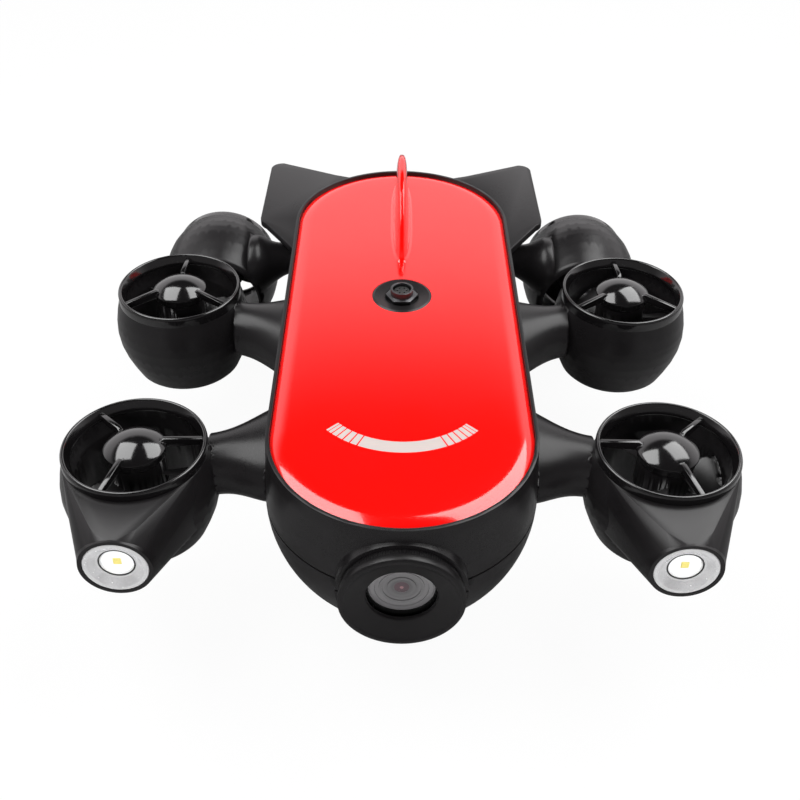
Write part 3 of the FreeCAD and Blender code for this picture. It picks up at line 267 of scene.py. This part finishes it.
dark_steel = turned_metal("dark_steel", (0.12, 0.12, 0.125, 1), 0.33)
screw_steel = turned_metal("screw_steel", (0.5, 0.5, 0.5, 1), 0.3)
insert_brass = turned_metal("insert_brass", (0.75, 0.55, 0.25, 1), 0.3)
clear_glass = clear("clear_glass")
lens_glass = Finish("lens_glass", Base_Color=grey(0.004), Roughness=0.05, Coat_Weight=1.0, Coat_Roughness=0.02)

cover_red = Finish("gloss_red_cover", IOR=1.5, Coat_Weight=0.6, Coat_Roughness=0.03)
cover_place = cover_red.place()
slow = cover_red.noise(cover_place, 30.0, 2.0)
RED, RED_DEEP = (0.92, 0.003, 0.0015, 1), (0.86, 0.002, 0.0012, 1)
red = cover_red.blend(slow.ramp(0.35, 0.65), RED, RED_DEEP)
cover_red.set(Base_Color=red, Roughness=slow.ramp(0.3, 0.7, 0.10, 0.14))

ON_SLOT = dict(
    hull_plastic=charcoal, guard_gloss=gloss_black, cover_red=cover_red, propeller_plastic=blade_black,
    motor_can=motor_paint, lamp_metal=lamp_metal, clear_glass=clear_glass, lamp_board=dish_white,
    port_black=port_black, lens_black=lens_glass, module_black=module_black, connector_metal=dark_steel,
    connector_insert=insert_black, tray_metal=tray_metal, battery_wrap=battery_blue, board_green=board_green,
    gasket_rubber=rubber, skid_rubber=rubber, screw_steel=screw_steel, insert_brass=insert_brass)
slot_of = {part["node"]: part["material_slot"] for part in frame["record"]["subparts"]}
for name, node in nodes.items():
    node.data.materials.clear()
    node.data.materials.append(ON_SLOT[slot_of[name]].material)


# ---------------------------------------------------------------------------
# Tools of the bench: one piece open for editing, selections by place
# ---------------------------------------------------------------------------
def take(piece):
    """Makes one piece the only one that is selected and active."""
    bpy.ops.object.select_all(action="DESELECT")
    piece.select_set(True)
    bpy.context.view_layer.objects.active = piece
    return piece


def settled(piece):
    """Puts a piece's place, turn and size in its mesh."""
    take(piece)
    bpy.ops.object.transform_apply(location=True, rotation=True, scale=True)
    return piece


class opened:
    """A piece in edit mode, with everything selected to start with."""

    def __init__(self, piece, mode="FACE"):
        self.piece = piece
        self.mode = mode

    def __enter__(self):
        take(self.piece)
        bpy.ops.object.mode_set(mode="EDIT")
        bpy.ops.mesh.select_mode(type=self.mode)
        bpy.ops.mesh.select_all(action="SELECT")
        return self

    def pick(self, test, kind="verts"):
        """Selects what passes a test of its place."""
        bpy.ops.mesh.select_all(action="DESELECT")
        mesh = bmesh.from_edit_mesh(self.piece.data)
        for item in getattr(mesh, kind):
            item.select_set(bool(test(item)))
        mesh.select_flush_mode()
        bmesh.update_edit_mesh(self.piece.data)

    def faced_out(self):
        bpy.ops.mesh.select_all(action="SELECT")
        bpy.ops.mesh.normals_make_consistent(inside=False)

    def __exit__(self, *error):
        bpy.ops.object.mode_set(mode="OBJECT")


def seated(piece, name, body, finish, instead_of=()):
    """Puts a piece's place in its mesh, and gives it its name, finish and body."""
    settled(piece)
    piece.name = name
    piece.data.name = name
    piece.data.materials.clear()
    piece.data.materials.append(finish.material)
    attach(piece, body)
    if instead_of:
        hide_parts(*instead_of)
    return piece


def smoothed(piece, angle=35.0):
    take(piece)
    bpy.ops.object.shade_smooth_by_angle(angle=math.radians(angle))
    return piece


def finished_by(piece, kind, **settings):
    """Adds a modifier and applies it."""
    take(piece)
    modifier = piece.modifiers.new(kind.lower(), kind)
    for key, value in settings.items():
        setattr(modifier, key, value)
    bpy.ops.object.modifier_apply(modifier=modifier.name)
    return piece


def eased(piece, width, steps, angle):
    """Its edges sharper than an angle made round."""
    return finished_by(piece, "BEVEL", width=width, segments=steps, limit_method="ANGLE",
                       angle_limit=math.radians(angle))


def cut_by(piece, cutter):
    """Takes a second piece away from the first, and removes it."""
    finished_by(piece, "BOOLEAN", object=cutter, operation="DIFFERENCE", solver="EXACT")
    bpy.data.objects.remove(cutter)
    return piece


def merged(name):
    """A copy of a solid node with its loose triangles merged into one skin."""
    node = nodes[name]
    piece = bpy.data.objects.new(name + "_skin", node.data.copy())
    bpy.context.scene.collection.objects.link(piece)
    with opened(piece, "VERT"):
        bpy.ops.mesh.remove_doubles(threshold=0.002 * MM)
        bpy.ops.mesh.dissolve_limited(angle_limit=math.radians(0.15))
    return piece


def skin_of(name, edge=0.0, steps=2):
    """The merged copy, smooth, with its sharp edges eased, in place of the node."""
    piece = merged(name)
    if edge:
        eased(piece, edge * MM, steps, SMOOTH_BELOW)
    smoothed(piece, SMOOTH_BELOW)
    slot = slot_of[name]
    return seated(piece, name + "_skin", body_of(nodes[name])[0], ON_SLOT[slot], (name,))


def turned(profile, count, closed=True):
    """A ring or disc spun about the upright axis from (radius, height) corners in millimetres."""
    bpy.ops.mesh.primitive_plane_add(size=1, location=(0, 0, 0))
    piece = bpy.context.object
    corners = profile + [profile[0]] if closed else profile
    with opened(piece, "VERT"):
        bpy.ops.mesh.merge(type="CENTER")
        bpy.ops.transform.translate(value=(corners[0][0] * MM, 0, corners[0][1] * MM))
        for (radius, height), (next_radius, next_height) in zip(corners, corners[1:]):
            step = ((next_radius - radius) * MM, 0, (next_height - height) * MM)
            bpy.ops.mesh.extrude_vertices_move(TRANSFORM_OT_translate={"value": step})
        bpy.ops.mesh.select_all(action="SELECT")
        bpy.ops.mesh.spin(steps=count, angle=2 * math.pi, center=(0, 0, 0), axis=(0, 0, 1))
        bpy.ops.mesh.select_all(action="SELECT")
        bpy.ops.mesh.remove_doubles(threshold=0.003 * MM)
        bpy.ops.mesh.normals_make_consistent(inside=False)
    return piece


def faced_forward(piece, place):
    """Turns an upright piece to look ahead, and moves it."""
    piece.rotation_euler = (QUARTER, 0, 0)
    piece.location = place
    return settled(piece)


def corners_of(name):
    low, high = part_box(name)
    return Vector(low), Vector(high)


def middle_of(name):
    low, high = corners_of(name)
    return (low + high) / 2


def face_of(name):
    """The middle of a piece's front face."""
    low, high = corners_of(name)
    return Vector(((low.x + high.x) / 2, low.y, (low.z + high.z) / 2))


# ---------------------------------------------------------------------------
# Barrels, hull, tail
# ---------------------------------------------------------------------------
for side in SIDES:
    for row in ROWS:
        skin_of("%s_%s_duct" % (row, side))
        skin_of("%s_%s_propeller" % (row, side))
    skin_of("tail_" + side, 0.9, 3)
skin_of("upper_shell", 0.35)
skin_of("lower_shell")
skin_of("knurled_ring")
skin_of("connector_shell", 0.35)
skin_of("connector_insert", 0.15)

# ---------------------------------------------------------------------------
# Cover: a stadium with a low crown, a rolled edge and a hole for the connector's plate
# ---------------------------------------------------------------------------
cover_low, cover_high = corners_of("top_cover")
cover_mid = (cover_high.y + cover_low.y) / 2
cover_rad = (cover_high.x - cover_low.x) / 2
cover_end = (cover_high.y - cover_low.y) / 2 - cover_rad
cover_foot = cover_low.z
COVER_THICK, LIP = 3.0 * MM, 0.35 * MM
CROWN_DROP, CROWN_WIDE, CROWN_STEPS = 0.4 * MM, 20.0 * MM, 26
ROLL_RAD, ROLL_WIDE = 20.0 * MM, 9.0 * MM
cover_top = cover_foot + COVER_THICK


def crown(inward):
    """How far the cover has fallen, this far in from its edge."""
    roll = max(0.0, ROLL_WIDE - inward)
    return (CROWN_DROP * max(0.0, 1 - inward / CROWN_WIDE) ** 2
            + ROLL_RAD - math.sqrt(ROLL_RAD * ROLL_RAD - roll * roll))


bpy.ops.mesh.primitive_circle_add(vertices=160, radius=cover_rad, fill_type="NGON",
                                  location=(0, cover_mid, cover_foot))
cover = bpy.context.object
with opened(cover) as work:
    work.pick(lambda vert: vert.co.y > 1e-6)
    bpy.ops.transform.translate(value=(0, cover_end, 0))
    work.pick(lambda vert: vert.co.y < 1e-6)
    bpy.ops.transform.translate(value=(0, -cover_end, 0))
    work.pick(lambda face: True, "faces")
    bpy.ops.mesh.extrude_region_move(TRANSFORM_OT_translate={"value": (0, 0, COVER_THICK - crown(LIP) - LIP)})
    bpy.ops.mesh.inset(thickness=0.12 * MM, depth=0.23 * MM)
    bpy.ops.mesh.inset(thickness=0.23 * MM, depth=0.12 * MM)
    stride = (CROWN_WIDE - LIP) / CROWN_STEPS
    for step in range(CROWN_STEPS):
        here, there = (crown(LIP + stride * (step + more)) for more in (0, 1))
        bpy.ops.mesh.inset(thickness=stride, depth=here - there)
    work.faced_out()
plate_mid = middle_of("connector_plate")
plate_rad = corners_of("connector_plate")[1].x - plate_mid.x
bpy.ops.mesh.primitive_cylinder_add(vertices=96, radius=plate_rad + 0.1 * MM, depth=20 * MM,
                                    location=(plate_mid.x, plate_mid.y, cover_top))
hole = bpy.context.object
cut_by(settled(cover), hole)
smoothed(cover, 30.0)
seated(cover, "cover_skin", "hull", cover_red, ("top_cover",))

# ---------------------------------------------------------------------------
# Fin: (height over the cover, front and back from the cover's middle, half thickness), from the
# fillet at its foot to its round tip
# ---------------------------------------------------------------------------
FIN_RISE = [(-0.6, 51.6, 155.6, 7.2), (0.02, 51.8, 155.2, 6.9), (0.25, 52.6, 154.2, 6.2),
            (0.8, 53.5, 153.2, 5.6), (1.7, 54.3, 152.4, 5.15), (3.0, 55.0, 152.0, 4.9),
            (5.2, 56.3, 151.7, 4.7), (7.6, 58.2, 151.4, 4.55), (11.0, 61.0, 150.6, 4.3),
            (15.5, 64.4, 149.5, 4.05), (19.6, 68.4, 147.4, 3.8), (23.4, 73.0, 144.6, 3.55),
            (26.7, 78.2, 140.8, 3.3), (29.7, 84.6, 135.9, 3.05), (31.8, 90.9, 131.2, 2.75),
            (33.2, 96.8, 127.4, 2.35), (34.0, 101.1, 124.6, 1.85), (34.4, 104.3, 122.0, 1.2),
            (34.5, 107.0, 119.5, 0.5)]
bpy.ops.mesh.primitive_plane_add(size=2.0, location=(0, 0, 0))
fin = bpy.context.object
with opened(fin) as work:
    bpy.ops.mesh.bevel(offset=0.8, offset_type="OFFSET", segments=14, affect="VERTICES")
    bpy.ops.mesh.select_all(action="SELECT")
    now = (0.0, 0.0, 1.0, 1.0)
    for level, (up, front, back, half) in enumerate(FIN_RISE):
        middle, long_half = cover_mid + (front + back) / 2 * MM, (back - front) / 2 * MM
        height = cover_top + up * MM
        if level:
            bpy.ops.mesh.extrude_region_move(
                TRANSFORM_OT_translate={"value": (0, middle - now[0], height - now[1])})
        else:
            bpy.ops.transform.translate(value=(0, middle, height))
        bpy.ops.transform.resize(value=(half * MM / now[2], long_half / now[3], 1),
                                 center_override=(0, middle, height))
        now = (middle, height, half * MM, long_half)
    work.faced_out()
smoothed(fin, 60.0)
seated(fin, "dorsal_fin_skin", "hull", cover_red)

# a plain arc of grey paint with broken ends, under the cover's gloss
ARC_Y, ARC_INSIDE, ARC_OUTSIDE, ARC_HALF = -79.0 * MM, 43.8 * MM, 51.6 * MM, 47.0
ARC_GREY = (0.51, 0.45, 0.43, 1)
ARC_GAPS = ((25.5, 0.42), (30.2, 0.42), (34.7, 0.42), (38.9, 0.40), (42.7, 0.36), (45.3, 0.28))
x, y, z = cover_place.parts()
away = (x * x + (y - ARC_Y) * (y - ARC_Y)).root()
turn_by = abs(x.angle(ARC_Y - y)) * (180 / math.pi)
arc = (away > ARC_INSIDE) * (away < ARC_OUTSIDE) * (turn_by < ARC_HALF) * (z > cover_top - 0.2 * MM)
for at, half in ARC_GAPS:
    arc = (abs(turn_by - at) > half) * arc
cover_red.set(Base_Color=cover_red.blend(arc, red, ARC_GREY))

# ---------------------------------------------------------------------------
# Guards: rounded lip with a flared mouth, the struts and the hub under their smooth cap
# ---------------------------------------------------------------------------
GUARD_RAD, GUARD_WALL = 37.0, 3.0
MOUTH_PROFILE = [(33.6, -6.6), (37.0, -6.6), (37.04, -5.7), (37.04, -2.1), (36.95, -1.5), (36.72, -0.85),
                 (36.4, -0.38), (36.0, -0.1), (35.6, -0.02), (35.2, -0.12), (34.9, -0.4), (34.6, -0.85),
                 (34.1, -1.7), (33.4, -2.9), (32.8, -4.0), (32.45, -4.8), (32.35, -5.4), (32.5, -6.0),
                 (32.9, -6.45)]


def guard_skin(row, side):
    name = "%s_%s_guard" % (row, side)
    low, high = corners_of(name)
    level = row == "rear"
    outside = (high.x - low.x) / 2
    mouth = outside - GUARD_WALL * MM
    origin = middle_of(name)

    def away(co):
        return math.hypot(co.x - origin.x, (co.z - origin.z) if level else (co.y - origin.y))

    on_lip = [vert.co for vert in nodes[name].data.vertices
              if abs(away(vert.co) - outside + GUARD_WALL * MM / 2) < 0.5 * MM]
    if level:
        origin.y = max(co.y for co in on_lip)
    else:
        origin.z = max(co.z for co in on_lip)

    hub = merged(name)
    with opened(hub) as work:
        work.pick(lambda face: all(away(vert.co) > mouth - 0.2 * MM for vert in face.verts), "faces")
        bpy.ops.mesh.delete(type="FACE")
        # the struts' ends reach into the ring's wall
        work.pick(lambda vert: away(vert.co) > mouth - 0.3 * MM)
        grow = (mouth + 1.3 * MM) / mouth
        bpy.ops.transform.resize(value=(grow, 1, grow) if level else (grow, grow, 1), center_override=origin)
        work.pick(lambda edge: edge.is_boundary, "edges")
        bpy.ops.mesh.edge_face_add()
    eased(hub, 0.35 * MM, 2, 50)
    ring = turned(MOUTH_PROFILE, 120)
    size = outside / (GUARD_RAD * MM)
    ring.scale = (size, size, 1.0)
    if level:
        ring.rotation_euler = (-QUARTER, 0, 0)
    ring.location = origin
    settled(ring)
    take(hub)
    ring.select_set(True)
    bpy.ops.object.join()
    smoothed(hub, 40.0)
    return seated(hub, name + "_skin", body_of(nodes[name])[0], gloss_black, (name,))


for side in SIDES:
    for row in ROWS:
        guard_skin(row, side)

# ---------------------------------------------------------------------------
# Camera port: dished bezel, knurling, and a window with the lens's rings close behind
# ---------------------------------------------------------------------------
BEZEL_PROFILE = [
    (22.9, -6.5), (22.9, -4.5), (29.9, -4.5), (30.0, -4.2), (30.0, -1.2), (29.85, -0.7), (29.5, -0.3),
    (29.0, -0.08), (28.4, 0.0), (27.7, -0.02), (27.35, -0.12), (27.1, -0.35), (26.4, -0.75), (24.0, -1.75),
    (21.0, -2.95), (18.9, -3.75), (18.1, -4.1), (17.4, -4.35), (17.05, -4.6), (16.85, -4.95), (16.8, -5.4),
    (16.8, -6.5)]
WINDOW_PROFILE = [
    (0.0, -3.0), (22.7, -3.0), (22.7, -0.05), (16.2, 0.0), (16.0, -0.35), (15.2, -0.35), (15.0, -0.1),
    (12.9, -0.1), (12.7, -0.45), (10.9, -0.6), (10.8, -0.3), (9.2, -0.3), (9.1, -0.75), (6.9, -0.95),
    (6.8, -0.6), (5.6, -0.7), (4.2, -1.0), (2.4, -0.75), (0.0, -0.65)]
port_face = face_of("bezel_ring")
bezel = faced_forward(turned(BEZEL_PROFILE, 144), port_face)
smoothed(bezel, 40.0)
seated(bezel, "bezel_skin", "hull", port_black, ("bezel_ring",))

IRIS_RAD, DOT_RAD, GLASS_RAD = 3.6, 0.9, 15.8
lens_rings = Finish("lens_rings", IOR=1.45, Coat_Weight=1.0, Coat_Roughness=0.03, Roughness=0.25)
x, _, z = lens_rings.place().parts()
out_by = ((x - port_face.x) * (x - port_face.x) + (z - port_face.z) * (z - port_face.z)).root() * (1 / MM)
# The grey brightens from the middle outward. This is a painted haze that stands in for light the window's glass
# scatters and reflects. The fine sine ripple is the lens's own rings.
ring_grey_and_painted_haze = out_by.ramp(1.5, 16.0, 0.06, 0.15) + (out_by * 2.4).sine() * 0.007
shade = lens_rings.make("ShaderNodeCombineColor", {}, ring_grey_and_painted_haze, ring_grey_and_painted_haze * 0.97, ring_grey_and_painted_haze)
shade = lens_rings.blend(out_by < IRIS_RAD, shade, (0.06, 0.035, 0.043, 1))
shade = lens_rings.blend(out_by < DOT_RAD, shade, (0.20, 0.10, 0.11, 1))
lens_rings.set(Base_Color=lens_rings.blend(out_by > GLASS_RAD, shade, grey(0.006)))
window = faced_forward(turned(WINDOW_PROFILE, 96, closed=False),
                       Vector((port_face.x, corners_of("port_window")[0].y, port_face.z)))
smoothed(window, 20.0)
seated(window, "port_window_skin", "hull", lens_rings, ("port_window",))

TEETH, TOOTH_OUT, TOOTH_IN, KNURL_SHORT = 150, 0.25 * MM, 0.35 * MM, 0.5 * MM
knurl_low, knurl_high = corners_of("knurled_ring")
knurl_rad = (knurl_high.x - knurl_low.x) / 2
bpy.ops.mesh.primitive_circle_add(vertices=TEETH * 2, radius=knurl_rad + TOOTH_OUT, fill_type="NOTHING",
                                  rotation=(QUARTER, 0, 0),
                                  location=(port_face.x, knurl_low.y + KNURL_SHORT / 2, port_face.z))
knurling = settled(bpy.context.object)
with opened(knurling, "VERT") as work:
    bpy.ops.mesh.extrude_region_move(
        TRANSFORM_OT_translate={"value": (0, knurl_high.y - knurl_low.y - KNURL_SHORT, 0)})
    work.pick(lambda vert: round(
        math.atan2(vert.co.z - port_face.z, vert.co.x - port_face.x) / math.pi * TEETH) % 2)
    inward = (knurl_rad - TOOTH_IN) / (knurl_rad + TOOTH_OUT)
    bpy.ops.transform.resize(value=(inward, 1, inward), center_override=port_face)
    work.faced_out()
finished_by(knurling, "SOLIDIFY", thickness=1.2 * MM, offset=-1)
seated(knurling, "knurling", "hull", port_black)

# ---------------------------------------------------------------------------
# Lamps: turned ring, white dish with its seal and yellow chip, and the pod's outer skin
# ---------------------------------------------------------------------------
LAMP_PROFILE = [
    (9.0, -9.0), (16.0, -9.0), (16.0, -0.9), (15.85, -0.4), (15.5, -0.08), (15.0, 0.0), (14.1, 0.0),
    (13.7, -0.08), (13.3, -0.4), (10.3, -2.75), (9.95, -3.0), (9.3, -3.05), (9.08, -3.2), (9.0, -3.6)]
DISH_PROFILE = [
    (0.0, -9.0), (8.9, -9.0), (8.9, -3.75), (8.55, -3.7), (8.35, -4.0), (7.6, -5.2), (6.9, -5.5), (0.0, -5.5)]
SEAL_PROFILE = [(8.3, -3.6), (8.98, -3.6), (8.98, -3.28), (8.3, -3.28)]
CHIP_DEEP, CHIP_WIDE, CHIP_THICK = 5.15 * MM, 4.0 * MM, 0.8 * MM
POD_GIRTHS = ((37.1, 100.4), (38.6, 88.0), (37.6, 66.0))    # (radius, height) round the barrel
POD_END_RAD, POD_BACK = 17.9 * MM, 0.5 * MM
POD_FLAT_WIDE, POD_FLAT_LONG, POD_FLAT_BACK, POD_FLAT_HIGH = 22 * MM, 14 * MM, 16 * MM, 100.7 * MM
POD_BORE, POD_SEAT = 35.4 * MM, 16.02 * MM


def pod_skin(side, face):
    """The pod's outside, drawn tight from the barrel's full width to the lamp's round seat."""
    axis = middle_of("front_%s_guard" % side)
    bpy.ops.mesh.primitive_circle_add(vertices=72, radius=POD_END_RAD, fill_type="NOTHING",
                                      rotation=(QUARTER, 0, 0), location=face + Vector((0, POD_BACK, 0)))
    pod = settled(bpy.context.object)
    with opened(pod, "VERT") as work:
        for radius, height in POD_GIRTHS:
            bpy.ops.mesh.primitive_circle_add(vertices=96, radius=radius * MM, fill_type="NOTHING",
                                              location=(axis.x, axis.y, height * MM))
        work.pick(lambda vert: vert.co.y > axis.y + 1 * MM)
        bpy.ops.mesh.delete(type="VERT")
        bpy.ops.mesh.primitive_plane_add(size=1, location=(face.x, face.y + POD_FLAT_BACK, POD_FLAT_HIGH))
        bpy.ops.transform.resize(value=(POD_FLAT_WIDE, POD_FLAT_LONG, 1))
        bpy.ops.mesh.select_all(action="SELECT")
        bpy.ops.mesh.convex_hull()
    eased(pod, 2.2 * MM, 3, 24)
    bpy.ops.mesh.primitive_cylinder_add(vertices=128, radius=POD_BORE, depth=160 * MM, location=axis)
    cut_by(pod, bpy.context.object)
    bpy.ops.mesh.primitive_cylinder_add(vertices=96, radius=POD_SEAT, depth=20 * MM, rotation=(QUARTER, 0, 0),
                                        location=face)
    cut_by(pod, bpy.context.object)
    smoothed(pod, 30.0)
    return seated(pod, side + "_pod_skin", "hull", charcoal)


for side in SIDES:
    ring_name, board_name = side + "_lamp_ring", side + "_lamp_board"
    face = face_of(ring_name)
    ring = faced_forward(turned(LAMP_PROFILE, 96), face)
    smoothed(ring, 30.0)
    seated(ring, ring_name + "_skin", "hull", lamp_metal, (ring_name,))
    dish = faced_forward(turned(DISH_PROFILE, 64, closed=False), face)
    smoothed(dish, 30.0)
    seated(dish, board_name + "_skin", "hull", dish_white, (board_name,))
    seal = faced_forward(turned(SEAL_PROFILE, 64), face)
    seated(seal, side + "_lamp_seal", "hull", rubber)
    bpy.ops.mesh.primitive_cube_add(size=1, location=(face.x, face.y + CHIP_DEEP, face.z),
                                    scale=(CHIP_WIDE, CHIP_THICK, CHIP_WIDE))
    chip = finished_by(bpy.context.object, "BEVEL", width=0.06, segments=2)
    seated(chip, side + "_lamp_chip", "hull", chip_yellow)
    pod_skin(side, face)

# ---------------------------------------------------------------------------
# Floor: pale, white where the camera or a clear piece looks, with the vehicle's shadow
# ---------------------------------------------------------------------------
bpy.ops.mesh.primitive_plane_add(size=12, location=(0, 2.0, -0.5 * MM))
floor = bpy.context.object
floor.name = "floor"
pale = Finish("pale_floor", Base_Color=grey(0.82), Roughness=0.9, Specular_IOR_Level=0.1)
glow = pale.make("ShaderNodeEmission", {}, Color=(1, 1, 1, 1))
dim = pale.make("ShaderNodeBsdfDiffuse", {}, Color=grey(0.25))
pale.surface(pale.between(pale.looked("Camera").most(pale.looked("Transmission")) * 0.95,
                          pale.between(pale.looked("Glossy"), pale.shader, dim), glow))
floor.data.materials.append(pale.material)

# ---------------------------------------------------------------------------
# Light: pale walls up to a height, brightest behind, a dark ceiling, and soft boxes
# ---------------------------------------------------------------------------
world = bpy.data.worlds.new("studio")
bpy.context.scene.world = world
room = Nodes(world, "ShaderNodeOutputWorld")
north, height = room.make("ShaderNodeTexCoord", {}, out="Generated").parts()[1:]
wall = height.ramp(0.50, 0.66, 1.0, 0.0, smooth=True)
behind = north.ramp(-0.35, 0.45, 0.18, 1.0, smooth=True)
backdrop = room.make("ShaderNodeBackground", {}, (1.0, 0.97, 0.985, 1), wall * behind + 0.03)
white = room.make("ShaderNodeBackground", {}, (1, 1, 1, 1))
room.surface(room.between(room.looked("Camera"), backdrop, white))


def softbox(name, elevation, azimuth, distance, width, height, power):
    """A soft light seen from the middle of the vehicle, its azimuth from straight behind towards +X."""
    up, round_by = math.radians(elevation), math.radians(azimuth)
    way = Vector((math.cos(up) * math.sin(round_by), math.cos(up) * math.cos(round_by), math.sin(up)))
    light = bpy.data.lights.new(name, "AREA")
    light.shape = "RECTANGLE"
    light.size = width
    light.size_y = height
    light.energy = power
    lamp = bpy.data.objects.new(name, light)
    bpy.context.scene.collection.objects.link(lamp)
    lamp.location = way * distance + Vector((0, -0.03, 0.1))
    lamp.rotation_euler = (-way).to_track_quat("-Z", "Y").to_euler()
    return lamp


softbox("right_softbox", 56, 60, 1.3, 1.0, 0.85, 15)
softbox("left_softbox", 60, -80, 1.3, 1.0, 0.85, 15)
softbox("front_fill", 22, 180, 1.5, 1.0, 0.6, 14).visible_glossy = False

# ---------------------------------------------------------------------------
# Camera
# ---------------------------------------------------------------------------
CAMERA_PLACE = (-0.00515, -0.51046, 0.46728)
CAMERA_DOWN, CAMERA_ROLL, CAMERA_YAW = (math.radians(angle) for angle in (39.601, 0.793, -0.548))
across = Vector((math.cos(CAMERA_YAW), math.sin(CAMERA_YAW), 0))
ahead = Vector((-math.sin(CAMERA_YAW) * math.cos(CAMERA_DOWN), math.cos(CAMERA_YAW) * math.cos(CAMERA_DOWN),
                -math.sin(CAMERA_DOWN)))
upright = across.cross(ahead)
side_axis = across * math.cos(CAMERA_ROLL) + upright * math.sin(CAMERA_ROLL)
up_axis = upright * math.cos(CAMERA_ROLL) - across * math.sin(CAMERA_ROLL)
camera_data = bpy.data.cameras.new("camera")
camera_data.sensor_width = 36
camera_data.lens = 36 * 1061.81 / 800
camera = bpy.data.objects.new("camera", camera_data)
bpy.context.scene.collection.objects.link(camera)
camera.matrix_world = Matrix.Translation(CAMERA_PLACE) @ Matrix((side_axis, up_axis, -ahead)).transposed().to_4x4()
bpy.context.scene.camera = camera
bpy.context.scene.view_settings.view_transform = "Standard"
